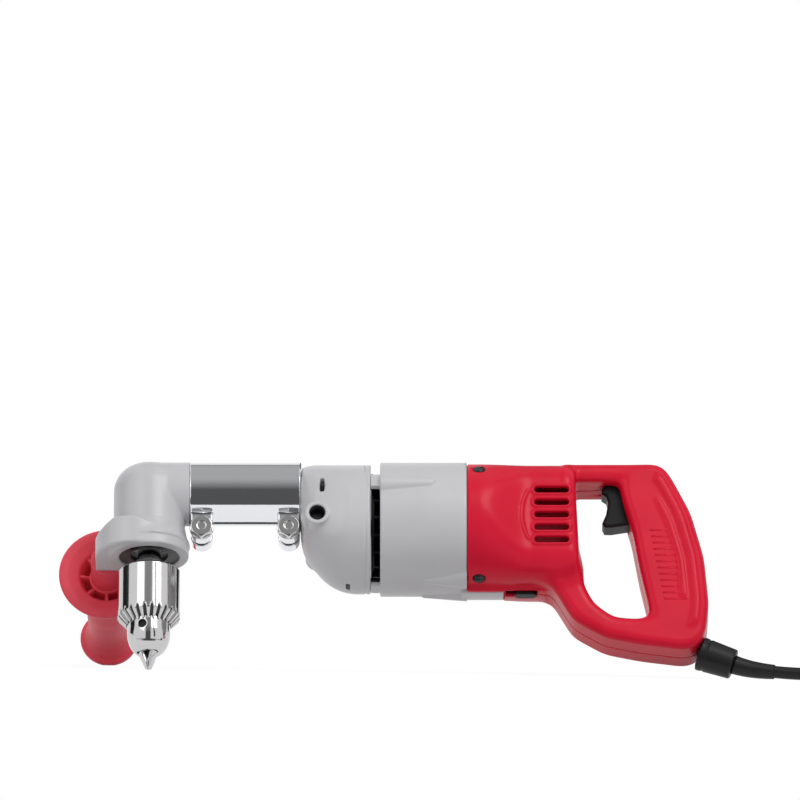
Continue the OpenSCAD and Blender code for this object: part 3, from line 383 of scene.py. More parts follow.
class Growth(Tree):
    """A geometry tree that grows what repeats or follows a path."""

    def __init__(self, name, **sizes):
        self.group = bpy.data.node_groups.new(name, "GeometryNodeTree")
        super().__init__(self.group)
        for key, kind in {"Geometry": "Geometry", **sizes, "Material": "Material"}.items():
            self.group.interface.new_socket(key, in_out="INPUT", socket_type="NodeSocket" + kind)
        self.group.interface.new_socket("Geometry", in_out="OUTPUT", socket_type="NodeSocketGeometry")
        self.given = self.nodes.new("NodeGroupInput")

    def __getitem__(self, key):
        """An input of the tree by its name."""
        return Socket(self, self.given.outputs[key])

    def tube(self, curve, radius, sides):
        ring = self.node("GeometryNodeCurvePrimitiveCircle", {"Resolution": sides, "Radius": 1.0})
        inputs = {"Curve": curve, "Profile Curve": ring, "Scale": radius, "Fill Caps": True}
        return self.node("GeometryNodeCurveToMesh", inputs)

    def end(self, geometry):
        smooth = self.node("GeometryNodeSetShadeSmooth", {"Geometry": geometry, "Shade Smooth": True})
        realized = self.node("GeometryNodeRealizeInstances", {"Geometry": smooth})
        painted = self.node("GeometryNodeSetMaterial", {"Geometry": realized, "Material": self["Material"]})
        self.links.new(painted.socket, self.nodes.new("NodeGroupOutput").inputs[0])
        return self.group


def grow(name, data, group, slot, body, replaced, **sizes):
    """Runs a geometry tree on a seed with this data and keeps the result as a plain mesh piece."""
    seed = new_object(name + "_seed", data)
    modifier = seed.modifiers.new(group.name, "NODES")
    modifier.node_group = group
    sizes["Material"] = finishes[slot]
    for item in group.interface.items_tree:
        if item.in_out == "INPUT" and item.name in sizes:
            modifier[item.identifier] = sizes[item.name]
    grown = bpy.data.meshes.new_from_object(seed.evaluated_get(bpy.context.evaluated_depsgraph_get()))
    seed.modifiers.remove(modifier)
    bpy.data.objects.remove(seed)
    places = [tuple(corner.co) for corner in grown.vertices]
    return add_piece(name, places, [tuple(face.vertices) for face in grown.polygons], slot, body, *replaced)


def path_tree():
    t = Growth("tube_on_path", Start="Float", End="Float", Sides="Int")
    along = t.node("GeometryNodeSplineParameter")
    radius = t["Start"] + along * (t["End"] - t["Start"])
    return t.end(t.tube(t["Geometry"], radius, t["Sides"]))


def bar_tree():
    vectors = dict.fromkeys(("First", "Step", "Low", "High"), "Vector")
    t = Growth("row_of_bars", Count="Int", **vectors, Radius="Float")
    row = {"Count": t["Count"], "Start Location": t["First"], "Offset": t["Step"]}
    spots = t.node("GeometryNodeMeshLine", row)
    line = t.node("GeometryNodeCurvePrimitiveLine", {"Start": t["Low"], "End": t["High"]})
    bar = t.tube(line, t["Radius"], BAR_SIDES)
    return t.end(t.node("GeometryNodeInstanceOnPoints", {"Points": spots, "Instance": bar}))


def screw_tree():
    t = Growth("screw_heads", Radius="Float", Height="Float", Slot="Float")
    inputs = {"Vertices": HEAD_SIDES, "Radius": t["Radius"], "Depth": t["Height"]}
    head = t.node("GeometryNodeMeshCylinder", inputs)
    groove = t.node("ShaderNodeCombineXYZ", [t["Radius"] * 4.0, t["Slot"], t["Slot"] * 1.6])
    blade = t.node("GeometryNodeMeshCube", {"Size": groove})
    raised = t.node("ShaderNodeCombineXYZ", {"Z": t["Height"] * 0.5})
    blade = t.node("GeometryNodeTransform", {"Geometry": blade, "Translation": raised})
    slotted = t.node("GeometryNodeMeshBoolean", {"Mesh 1": head, "Mesh 2": blade}, operation="DIFFERENCE")
    facing = t.node("GeometryNodeInputNamedAttribute", {"Name": "facing"}, data_type="FLOAT_VECTOR")
    turned = t.node("FunctionNodeAlignRotationToVector", {"Vector": facing}, axis="Z")
    inputs = {"Points": t["Geometry"], "Instance": slotted, "Rotation": turned}
    return t.end(t.node("GeometryNodeInstanceOnPoints", inputs))


PATH_TREE, BAR_TREE, SCREW_TREE = path_tree(), bar_tree(), screw_tree()


def tube_piece(name, path, start, end, slot, body, *replaced):
    """A round tube along points of the row frame, with its radius at each end in millimetres."""
    line = bpy.data.curves.new(name + "_line", "CURVE")
    line.dimensions = "3D"
    spline = line.splines.new("POLY")
    spline.points.add(len(path) - 1)
    for corner, place in zip(spline.points, path):
        corner.co = (*place, 1.0)
    return grow(name, line, PATH_TREE, slot, body, replaced, Start=start * MM, End=end * MM, Sides=TUBE_SIDES)


def screw_pieces(name, spots, replaced, radius, height, slot_width):
    """Slotted heads at (place, facing) pairs, given in tool axes."""
    mesh = new_mesh(name + "_spots", [row_point(*place) for place, _ in spots])
    facing = mesh.attributes.new("facing", "FLOAT_VECTOR", "POINT")
    for row, (_, towards) in zip(facing.data, spots):
        row.vector = row_point(*towards) - TOOL_ORIGIN
    sizes = {"Radius": radius * MM, "Height": height * MM, "Slot": slot_width * MM}
    return grow(name, mesh, SCREW_TREE, "dark_steel", "drill_body", (replaced,), **sizes)


# Angle head

(SLEEVE_START, _, _), (SLEEVE_END, _, SLEEVE_R) = extent("coupling_sleeve")
(LUG_LEFT, _, FLANGE_LOW), (_, _, HEAD_TOP) = extent("head_housing")
BARREL_R, NECK_R, FLANGE_R, HEAD_EDGE = 26.2, SLEEVE_R, 29.0, 20.0
BARREL_TOP = HEAD_TOP - 1.9
FLANGE_TOP, SKIRT_TOP = FLANGE_LOW + 11.0, FLANGE_LOW + 21.0
NECK_EDGE, NECK_WALL, NECK_BORE_DEEP = 9.0, 2.4, 12.0
LUG_REAR, LUG_CIRCLE_R, LUG_RIGHT, LUG_TOP_RIGHT = 24.0, FLANGE_R + 1.0, FLANGE_R - 4.0, -12.0
LUG_LEFT_TOP, LUG_TOP = FLANGE_LOW + 13.5, FLANGE_LOW + 21.5
STUD_X, STUD_Z, STUD_R = LUG_LEFT + 8.0, FLANGE_LOW + 9.0, 5.0
RETAINER_R, RECESS_TOP = 22.0, FLANGE_LOW + 5.0


@piece((LUG_LEFT - 2, -33, FLANGE_LOW - 3), (SLEEVE_START + 3, 33, HEAD_TOP + 3), 0.75, "grey_paint", "head",
       "head_housing")
def head_casting(p):
    x, y, z = p
    barrel = rod_z(p, FLANGE_LOW - HEAD_EDGE - PAST, BARREL_TOP, BARREL_R, edge=HEAD_EDGE)
    neck = rod_x(p, -NECK_EDGE, SLEEVE_START + NECK_EDGE, NECK_R, edge=NECK_EDGE)
    body = weld(meet(barrel, FLANGE_LOW + 4 - z), meet(neck, x - SLEEVE_START), 1.4)
    skirt = cone(z, hypot(x, y), FLANGE_TOP - 3, SKIRT_TOP, FLANGE_R + 1.0, BARREL_R - 0.6, 0.5)
    flange = rod_z(p, FLANGE_LOW, FLANGE_TOP, FLANGE_R, edge=1.0)
    body = weld(body, weld(skirt, flange, 1.5), 2.5)
    plan = meet(hypot(x - LUG_LEFT - LUG_CIRCLE_R, y) - LUG_CIRCLE_R, y - LUG_REAR)
    corner = meet(span(x, LUG_LEFT, 0), span(y, 0, LUG_REAR))
    side = polygon(x, z, [
        (LUG_LEFT, FLANGE_LOW), (LUG_LEFT, LUG_LEFT_TOP), (-BARREL_R, LUG_TOP), (LUG_TOP_RIGHT, LUG_TOP),
        (LUG_RIGHT, FLANGE_TOP - 1), (LUG_RIGHT, FLANGE_LOW),
    ])
    lug = trim(weld(plan, corner, 1.0), side, 2.0)
    body = weld(body, lug, 2.0)
    body = carve(body, rod_z(p, FLANGE_LOW - PAST, RECESS_TOP, RETAINER_R, edge=0.2), 1.0)
    body = carve(body, rod_y(p, -10, LUG_REAR + PAST, STUD_R, STUD_X, STUD_Z), 0.5)
    bore = rod_x(p, SLEEVE_START - NECK_BORE_DEEP, SLEEVE_START + PAST, NECK_R - NECK_WALL, edge=0.2)
    return carve(body, bore, 0.5)


# Gear case

CASE_START, CASE_END, PLATE_END = SLEEVE_END - 1.8, SLEEVE_END + 47.5, extent("gear_plate")[1][0]
MOTOR_Z, CASE_R, SEAM_R, SHAFT_HOLE_R = -28.5, 47.4, 0.7, 9.0
CASE_NOSE_R, CASE_NOSE_Z, CASE_FLARE = CASE_R - 13.9, -11.0, 1.1
CASE_PLAN = [(0, CASE_R - 16.4), (12, CASE_R - 8.9), (21, CASE_R - 5.9), (36, CASE_R), (60, CASE_R + 0.5)]
SOCKET_X, SOCKET_Z, SOCKET_R, SOCKET_BOSS_R = SLEEVE_END + 12.0, -33.5, 6.0, 9.0
SOCKET_FACE, SOCKET_DEPTH = CASE_R - 4.4, 12.0
SOCKET_BACK = SOCKET_FACE - SOCKET_DEPTH - 2.0
SCREW_CIRCLE = CASE_R - 5.9
NUT_SLOTS = [(25, SLEEVE_END + 17.0), (155, SLEEVE_END + 17.0), (270, SLEEVE_END + 36.0)]
NUT_SLOT_R, NUT_SLOT_W = 5.5, 3.0


def spoke_way(angle):
    """The direction of a spoke of the motor axis, by its angle above the near side."""
    turn = radians(angle)
    return -cos(turn), sin(turn)


def from_spoke(y, z, angle):
    """How far points lie beside a spoke, and how far out along it."""
    way_y, way_z = spoke_way(angle)
    return y * way_z - (z - MOTOR_Z) * way_y, y * way_y + (z - MOTOR_Z) * way_z


def spoke(angle, radius):
    """The y and z of the point at a radius on a spoke."""
    way_y, way_z = spoke_way(angle)
    return radius * way_y, MOTOR_Z + radius * way_z


@piece((CASE_START - 2, -50, -79), (PLATE_END + 2, 50, 22), 0.8, "grey_paint", "drill_body", "gear_case", "gear_plate")
def gear_casting(p):
    x, y, z = p
    drum = rod_x(p, CASE_START, PLATE_END, CASE_R, z=MOTOR_Z, edge=1.0)
    nose = hypot(y, z - CASE_NOSE_Z) - CASE_NOSE_R - CASE_FLARE * (x - CASE_START)
    half = [(CASE_START + along, wide) for along, wide in CASE_PLAN]
    plan = polygon(x, y, half + [(along, -wide) for along, wide in reversed(half)])
    body = trim(trim(drum, nose / hypot(1, CASE_FLARE), 12.0), plan, 5.0)
    both = x, abs(y), z
    boss = rod_y(both, SOCKET_BACK, SOCKET_FACE, SOCKET_BOSS_R, SOCKET_X, SOCKET_Z, edge=0.7)
    bore = rod_y(both, SOCKET_FACE - SOCKET_DEPTH, SOCKET_FACE + PAST, SOCKET_R, SOCKET_X, SOCKET_Z)
    body = carve(weld(body, boss, 1.2), bore, 0.9)
    for angle, head in NUT_SLOTS:
        slot = rod_x(p, head - NUT_SLOT_W, head, NUT_SLOT_R, *spoke(angle, SCREW_CIRCLE + 2), edge=0.2)
        body = carve(body, slot, 0.4)
    seam = hypot(x - CASE_END, hypot(y, z - MOTOR_Z) - CASE_R) - SEAM_R
    shaft_hole = rod_x(p, PLATE_END - 30, PLATE_END + PAST, SHAFT_HOLE_R, z=MOTOR_Z)
    return carve(carve(body, seam, 0.4), shaft_hole, 0.6)


THREAD_IN_R, THREAD_RIDGE, THREAD_PITCH = 5.1, 0.3, 1.6
THREAD_START, THREAD_FLOOR, THREAD_END = 1.2, 9.5, 11.5


@piece((SOCKET_X - 7, -SOCKET_FACE, SOCKET_Z - 7), (SOCKET_X + 7, -30, SOCKET_Z + 7), 0.35, "dark_steel", "drill_body")
def socket_thread(p):
    """The steel thread in the near side handle socket, with its floor."""
    depth = p[1] + SOCKET_FACE
    out = hypot(p[0] - SOCKET_X, p[2] - SOCKET_Z)
    crest = THREAD_IN_R - out + THREAD_RIDGE * np.cos(depth * 2 * pi / THREAD_PITCH)
    floor = meet(out - SOCKET_R, THREAD_FLOOR - depth)
    return meet(join(meet(out - SOCKET_R - 0.05, crest), floor), span(depth, THREAD_START, THREAD_END))


FAN_FRONT, FAN_BACK, FAN_R = PLATE_END + 0.25, PLATE_END + 1.6, CASE_R - 6.4


@piece((PLATE_END - 0.5, -43, MOTOR_Z - 43), (PLATE_END + 2.5, 43, MOTOR_Z + 43), 0.5, "black_plastic", "armature")
def fan_face(p):
    return rod_x(p, FAN_FRONT, FAN_BACK, FAN_R, z=MOTOR_Z, edge=0.3)


# Motor housing

MOTOR_START, MOTOR_R = PLATE_END + 7.0, CASE_R + 1.8
MOTOR_END = MOTOR_START + 63.5
FAN_ROOM_R, FAN_ROOM_DEEP, STATOR_BORE_R = 40.4, 8.0, 41.0
LAND_ANGLES, LAND_HALF, LAND_LOW, LAND_LAP = (25, 155, 270), 6.4, MOTOR_R - 4.2, 6.0
FRONT_ANGLES, REAR_ANGLES = (21, 159), (254, 286)
FRONT_FAIRING = (MOTOR_START, 4.6, 8.9), (MOTOR_START + 37.0, 1.6, 3.9)
REAR_FAIRING = (MOTOR_END, 8.6, 12.4), (MOTOR_END - 31.0, 1.0, 2.4)
TONGUE_END, TONGUE_NEAR, TONGUE_FAR, TONGUE_R = MOTOR_END + 27.0, -2.0, 28.0, MOTOR_R + 2.4
TONGUE_IN_R, REAR_SPIGOT_R, REAR_SPIGOT_LEN = 44.0, MOTOR_R - 2.6, 5.0


def fairing(p, angle, thick, thin):
    """A boss on the housing's outside between two (x, depth of its middle, radius) ends."""
    x, y, z = p
    t = np.clip((x - thick[0]) / (thin[0] - thick[0]), 0, 1)
    way_y, way_z = spoke_way(angle)
    middle = MOTOR_R - thick[1] - (thin[1] - thick[1]) * t
    off = hypot(y - way_y * middle, z - MOTOR_Z - way_z * middle)
    along = np.maximum(span(x, *sorted((thick[0], thin[0]))), 0)
    return hypot(off, along) - thick[2] - (thin[2] - thick[2]) * t


@piece((PLATE_END - 2, -53, -82), (TONGUE_END + 3, 53, 25), 0.85, "grey_paint", "drill_body", "motor_housing")
def motor_casting(p):
    x, y, z = p
    out = hypot(y, z - MOTOR_Z)
    body = rod_x(p, MOTOR_START, MOTOR_END, MOTOR_R, z=MOTOR_Z, edge=1.2)
    for angle in FRONT_ANGLES:
        body = weld(body, meet(fairing(p, angle, *FRONT_FAIRING), MOTOR_START - x), 0.6)
    for angle in REAR_ANGLES:
        body = weld(body, meet(fairing(p, angle, *REAR_FAIRING), x - MOTOR_END), 0.6)
    land_ring = meet(span(out, LAND_LOW, MOTOR_R - 0.6), span(x, PLATE_END, MOTOR_START + LAND_LAP))
    for angle in LAND_ANGLES:
        aside, ahead = from_spoke(y, z, angle)
        body = weld(body, meet(land_ring, abs(aside) - LAND_HALF, -ahead), 1.2)
    tongue = meet(span(out, TONGUE_IN_R, TONGUE_R), span(y, TONGUE_NEAR, TONGUE_FAR), z - MOTOR_Z)
    body = weld(body, meet(tongue, span(x, MOTOR_END - 4, TONGUE_END)), 0.8)
    spigot = rod_x(p, MOTOR_END - 3, MOTOR_END + REAR_SPIGOT_LEN, REAR_SPIGOT_R, z=MOTOR_Z)
    body = weld(body, spigot, 0.6)
    fan_room = rod_x(p, MOTOR_START - 20, MOTOR_START + FAN_ROOM_DEEP, FAN_ROOM_R, z=MOTOR_Z)
    bore = rod_x(p, MOTOR_START + FAN_ROOM_DEEP - 2, MOTOR_END + 30, STATOR_BORE_R, z=MOTOR_Z)
    return carve(carve(body, fan_room, 0.6), bore, 0.6)


# D-handle shells

HANDLE_HALF, HANDLE_EDGE, SHELL_WALL, SHELL_R = 20.5, 6.0, 3.0, MOTOR_R + 0.6
POST_X = MOTOR_END + 68.0
STATIONS = [
    (4, 9.8, 7.1), (54, 9.9, 7), (70, 7.4, 9.6), (65, -4, 20), (75, -30, 22.5), (82, -62, 24), (87, -95, 22),
    (90.5, -115, 16.5), (60, -117.5, 10), (36, -114, 8.5), (17, -101, 10), (8.5, -85, 10.5), (1, -66, 13.5),
]
OUTLINE_BLUR = 4.2
BELL_START, POST_START, POST_ROUND = MOTOR_END + 9.0, POST_X - 19.5, 22.0
POST_HALF, POST_MID, POST_TALL, TAPER_STRETCH = 34.5, -31.3, 48.2, 0.86
VENT_X, VENT_HALF, VENT_TOP, VENT_PITCH, VENT_COUNT, VENT_H = POST_X - 6.0, 12.6, -11.6, 10.0, 5, 4.6
VENT_DEEP, SCREEN_HALF, FRAME_W = 8.0, 4.0, 1.3
RIDGE_X, RIDGE_Z, RIDGE_R, RIDGE_HALF = VENT_X + 18.6, -31.6, 40.4, 21.5
BEAD_IN, BORDER_IN, GRIP_MID = 9.0, 17.0, -52.0
BOOT_X, BOOT_Z, BOOT_ANGLE = POST_X + 102.5, -127.8, 20.0
HOUSING_X, HOUSING_ANGLES, HOUSING_SEAT = MOTOR_END + 9.0, (40, 140, 251, 289), MOTOR_R - 1.6
HOUSING_POCKET_R, SHELL_POCKET_R, SHELL_POCKET_DEEP, SHELL_POCKET_OUT = 4.6, 3.4, 4.0, 19.0
SHELL_SCREWS = [(25, 9.8), (90.5, -34), (88, -80), (62, -117.5), (4, -72)]
TRIGGER_X, TRIGGER_Z, TRIGGER_LEAN, TRIGGER_HALF, TRIGGER_H = POST_X + 31.5, 3.5, 9.5, 8.5, 34.0
LEVER_X, LEVER_HALF, LEVER_TRAVEL, LEVER_WIDE = MOTOR_END + 43.0, 8.0, 6.0, 4.25


def smooth_step(v, low, high):
    t = np.clip((v - low) / (high - low), 0, 1)
    return t * t * (3 - 2 * t)


def vent_distance(x, z):
    heights = [VENT_TOP - VENT_PITCH * i for i in range(VENT_COUNT)]
    return join(*(block(x - VENT_X, z - up, VENT_HALF, VENT_H / 2, VENT_H / 2) for up in heights))


def trigger_frame(x, z):
    """Places on the trigger's side view, which leans with the grip."""
    lean = radians(TRIGGER_LEAN)
    u, v = x - TRIGGER_X, z - TRIGGER_Z
    return u * cos(lean) + v * sin(lean), v * cos(lean) - u * sin(lean)


def boot_height(x, z):
    """Height along the cord guard's axis, from where it leaves the handle."""
    turn = radians(BOOT_ANGLE)
    return (x - BOOT_X) * cos(turn) - (z - BOOT_Z) * sin(turn)


class SmoothOutline:
    """The handle's outline as a flat map of distances, blurred so that its corners flow."""

    STEP = 0.6

    def __init__(self, stations, blur):
        places = np.array(stations)
        self.low = places[:, :2].min(0) - 60
        count = ((places[:, :2].max(0) + 60 - self.low) / self.STEP).astype(int) + 1
        u, v = (self.low[i] + self.STEP * np.arange(count[i]) for i in range(2))
        flat = join(*(link(u[:, None], v[None, :], a, b) for a, b in zip(stations, stations[1:])))
        reach = int(3 * blur / self.STEP)
        weight = np.exp(-0.5 * (np.arange(-reach, reach + 1) * self.STEP / blur) ** 2)
        weight /= weight.sum()
        for axis in range(2):
            padded = np.pad(flat, [(reach, reach) if i == axis else (0, 0) for i in range(2)], mode="edge")
            flat = sum(w * np.take(padded, range(k, k + flat.shape[axis]), axis) for k, w in enumerate(weight))
        self.map = flat

    def at(self, u, v):
        a = np.clip((u - self.low[0]) / self.STEP, 0, self.map.shape[0] - 1.001)
        b = np.clip((v - self.low[1]) / self.STEP, 0, self.map.shape[1] - 1.001)
        i, j = a.astype(int), b.astype(int)
        s, t = a - i, b - j
        near = self.map[i, j] * (1 - t) + self.map[i, j + 1] * t
        far = self.map[i + 1, j] * (1 - t) + self.map[i + 1, j + 1] * t
        return near * (1 - s) + far * s


handle_places = [(POST_X + along, up, radius) for along, up, radius in STATIONS]
handle_outline = SmoothOutline(handle_places, OUTLINE_BLUR)
grip_places = sorted((up, along) for along, up, _ in handle_places[2:8])


def grip_middle(z):
    """Where the grip's middle line runs at a height."""
    return np.interp(z, *zip(*grip_places))


def bead(offset, half):
    return 1 - smooth_step(abs(offset), half * 0.3, half)


def handle_outside(p):
    x, y, z = p
    flat = handle_outline.at(x, z)
    slab = rounded(flat, abs(y) - HANDLE_HALF, HANDLE_EDGE)
    t = smooth_step(x, BELL_START, POST_START)
    wide, tall, corner = (SHELL_R + (size - SHELL_R) * t for size in (POST_HALF, POST_TALL, POST_ROUND))
    section = block(y, z - MOTOR_Z - (POST_MID - MOTOR_Z) * t, wide, tall, corner) * TAPER_STRETCH
    back = link(np.maximum(x, POST_X + 1), z, handle_places[0], handle_places[-1])
    bell = rounded(trim(section, back, 8.0), MOTOR_END + PLAY - x, 0.8)
    keel = meet(
        span(hypot(y, z - MOTOR_Z), 40.0, TONGUE_R), span(y, TONGUE_NEAR - 4, TONGUE_FAR + 1), z - MOTOR_Z,
        span(x, MOTOR_END + PLAY, LEVER_X + LEVER_HALF + 5),
    )
    body = weld(slab, weld(bell, keel, 3.0), 4.0 + 6.0 * smooth_step(-z, 5, 35))
    vent_frame = bead(vent_distance(x, z) - FRAME_W, FRAME_W)
    crescent = bead(hypot(x - RIDGE_X, z - RIDGE_Z) - RIDGE_R, 1.8) * (x < RIDGE_X)
    crescent = crescent * (1 - smooth_step(abs(z - RIDGE_Z), RIDGE_HALF - 3, RIDGE_HALF))
    behind = smooth_step(x - grip_middle(z), 0, 3)
    back_bead = bead(flat + BEAD_IN, 4.2) * behind * (1 - smooth_step(abs(z - GRIP_MID), 56, 66))
    border = bead(flat + BORDER_IN, 2.6) * behind * (1 - smooth_step(abs(z - GRIP_MID), 36, 42))
    raised = meet(0.9 * vent_frame, 0.8 * crescent, 1.5 * back_bead, 0.8 * border)
    return trim(body - smooth_step(abs(y), 8, 10) * raised, boot_height(x, z), 1.5)


def handle_shell(p):
    x, y, z = p
    outside = handle_outside(p)
    screen = meet(
        span(x, VENT_X - VENT_HALF - 4, VENT_X + VENT_HALF + 4), abs(y) - SCREEN_HALF, outside + 1,
        span(z, VENT_TOP - VENT_PITCH * VENT_COUNT, VENT_TOP + 6),
    )
    shell = join(meet(outside, -(outside + SHELL_WALL)), screen)
    shell = meet(shell, -rod_x(p, MOTOR_END - 20, MOTOR_END + 6, SHELL_R - SHELL_WALL, z=MOTOR_Z))
    shell = carve(shell, meet(vent_distance(x, z), VENT_DEEP - abs(y)), 0.5)
    u, v = trigger_frame(x, z)
    slot = meet(span(u, -20, 25), span(v, -TRIGGER_H - PLAY, PLAY), abs(y) - TRIGGER_HALF - PLAY)
    shell = carve(shell, slot, 0.8)
    notch = meet(
        span(x, MOTOR_END - PAST, TONGUE_END + PLAY), span(y, TONGUE_NEAR - PLAY, TONGUE_FAR + PLAY), z - MOTOR_Z,
    )
    lever = meet(
        span(x, LEVER_X - LEVER_HALF - LEVER_TRAVEL - PLAY, LEVER_X + LEVER_HALF + PLAY),
        abs(y) - LEVER_WIDE - PLAY, span(z, MOTOR_Z - 75, MOTOR_Z - 41),
    )
    shell = carve(shell, join(notch, lever), 0.6)
    for angle in HOUSING_ANGLES:
        aside, ahead = from_spoke(y, z, angle)
        pocket = meet(hypot(x - HOUSING_X, aside) - HOUSING_POCKET_R, HOUSING_SEAT - ahead)
        shell = carve(shell, pocket, 0.6)
    for along, up in SHELL_SCREWS:
        ends = HANDLE_HALF - SHELL_POCKET_DEEP, HANDLE_HALF + SHELL_POCKET_OUT
        shell = carve(shell, rod_y(p, *ends, SHELL_POCKET_R, POST_X + along, up), 0.5)
    return shell


SHELL_WIDE, SHELL_LAP, SHELL_FOOT, SHELL_TOP = 53, 2, -138, 24
for name, side, node in (("handle_front", 1, "handle_shell_front"), ("handle_rear", -1, "handle_shell_rear")):
    near, far = (-SHELL_WIDE, SHELL_LAP) if side > 0 else (-SHELL_LAP, SHELL_WIDE)

    def half_form(p, side=side):
        return trim(handle_shell(p), side * p[1], 0.7)

    mesh_of(name, half_form, (MOTOR_END - 1, near, SHELL_FOOT), (POST_X + 112, far, SHELL_TOP), 0.95, "red_plastic",
            "drill_body", node)

GRIP_BARS, BAR_HALF, BAR_PITCH, BAR_R, BAR_SUNK, BAR_TOP = 12, 8.5, 5.0, 1.1, 0.75, -38.0
BAR_LOW = BAR_TOP - BAR_PITCH * (GRIP_BARS - 1)
for name, side in (("grip_ridges_front", -1), ("grip_ridges_rear", 1)):
    first, last = (row_point(grip_middle(z) - 2, side * (HANDLE_HALF - BAR_SUNK), z) for z in (BAR_TOP, BAR_LOW))
    grow(name, bpy.data.meshes.new(name + "_seed"), BAR_TREE, "red_plastic", "drill_body", (), Count=GRIP_BARS,
         First=first, Step=(last - first) / (GRIP_BARS - 1), Low=TOOL_X * -BAR_HALF * MM, High=TOOL_X * BAR_HALF * MM,
         Radius=BAR_R * MM)

HOUSING_HEAD = {"radius": 4.2, "height": 2.0, "slot_width": 1.2}
SHELL_HEAD = {"radius": 3.1, "height": 2.5, "slot_width": 1.0}
housing_spots = [((HOUSING_X, *spoke(angle, HOUSING_SEAT + 1.0)), (0, *spoke_way(angle))) for angle in HOUSING_ANGLES]
screw_pieces("housing_screw_heads", housing_spots, "housing_screws", **HOUSING_HEAD)
shell_spots = [((POST_X + along, HANDLE_HALF - 2.75, up), (0, 1, 0)) for along, up in SHELL_SCREWS]
screw_pieces("shell_screw_heads", shell_spots, "shell_screws", **SHELL_HEAD)

# Trigger

TRIGGER_OUTLINE = [
    (-1.5, -6), (0, -1.5), (3, 0), (28, 0), (28, -34), (1, -34), (-4, -33), (-5, -29.5), (-1, -23), (2, -14), (1.5, -9),
]


@piece((TRIGGER_X - 4, -10, -38), (TRIGGER_X + 38, 10, 12), 0.5, "black_plastic", "trigger", "trigger")
def trigger_moulding(p):
    u, v = trigger_frame(p[0], p[2])
    outline = polygon(u, v, TRIGGER_OUTLINE)
    return rounded(outline, abs(p[1]) - TRIGGER_HALF, 2.2)


# Coupling sleeve and its clamp screws

SPIGOT_R, SPLIT_HALF = 21.2, 2.0
EAR_HALF, EAR_Y, CLAMP_Z = 8.0, 12.0, -33.0
EAR_XS = (SLEEVE_START + EAR_HALF + 1, SLEEVE_END - EAR_HALF - 1)
SPOT_R, CLAMP_R, CLAMP_HEAD_H, CLAMP_HEAD_W, CLAMP_RIM_R, CLAMP_DIMPLE_R = 9.6, 3.3, 6.5, 15.4, 8.4, 3.2
WASHER_R, WASHER_H, NUT_W, NUT_H, NUT_RIM_R, SHANK_PROUD = 8.9, 1.4, 10.0, 5.5, 5.6, 8.0
CHAMFER, CHAMFER_SLANT = 1.6, 1.9


@piece((SLEEVE_START - 1.5, -26, CLAMP_Z - 10), (SLEEVE_END + 1.5, 26, 26), 0.65, "chrome", "drill_body",
       "coupling_sleeve")
def coupling(p):
    x, y, z = p
    body = rod_x(p, SLEEVE_START, SLEEVE_END, SLEEVE_R, edge=1.1)
    for ear in EAR_XS:
        web = block(x - ear, z - CLAMP_Z / 2, EAR_HALF, -CLAMP_Z / 2, 0.3)
        lobe = join(web, hypot(x - ear, z - CLAMP_Z) - EAR_HALF)
        body = weld(body, rounded(lobe, abs(y) - EAR_Y, 1.0), 1.6)
    for ear in EAR_XS:
        body = carve(body, rod_y((x, abs(y), z), EAR_Y, 60, SPOT_R, ear, CLAMP_Z), 0.5)
        body = carve(body, rod_y(p, -60, 60, CLAMP_R, ear, CLAMP_Z), 0.3)
    body = carve(body, rod_x(p, SLEEVE_START - PAST, SLEEVE_END + PAST, SPIGOT_R), 0.5)
    return carve(body, meet(abs(y) - SPLIT_HALF, z + 5), 0.5)


def hexagon(u, v, flats):
    turns = [radians(turn) for turn in (0, 60, 120)]
    return meet(*(abs(u * cos(turn) + v * sin(turn)) for turn in turns)) - flats / 2


def chamfer(out, rim, height):
    """The cone that takes off a hexagon's corners, with its radius at no height."""
    return (out - rim + height * CHAMFER) / CHAMFER_SLANT


def clamp_screw(u, y, v):
    """One screw with its washer and nut, round their own axis."""
    out, height = hypot(u, v), -EAR_Y - y
    washer = rounded(out - WASHER_R, span(height, 0, WASHER_H), 0.4)
    head = meet(hexagon(u, v, CLAMP_HEAD_W), span(height, 0.5, CLAMP_HEAD_H))
    head = meet(head, chamfer(out, CLAMP_RIM_R, height - CLAMP_HEAD_H + 0.5))
    head = carve(head, meet(out - CLAMP_DIMPLE_R, CLAMP_HEAD_H - 0.5 - height), 0.4)
    shank = rounded(out - CLAMP_R + 0.3, span(y, -EAR_Y, EAR_Y + SHANK_PROUD), 0.5)
    nut = meet(hexagon(v, u, NUT_W), span(y, EAR_Y, EAR_Y + NUT_H))
    nut = meet(nut, chamfer(out, NUT_RIM_R, y - EAR_Y - NUT_H + 0.8))
    return join(washer, head, shank, nut)


@piece((EAR_XS[0] - 10, -20, CLAMP_Z - 10), (EAR_XS[1] + 10, 22, CLAMP_Z + 10), 0.45, "polished_steel", "drill_body",
       "clamp_screws", "clamp_nuts")
def clamp_screw_set(p):
    return join(*(clamp_screw(p[0] - ear, p[1], p[2] - CLAMP_Z) for ear in EAR_XS))


# Chuck

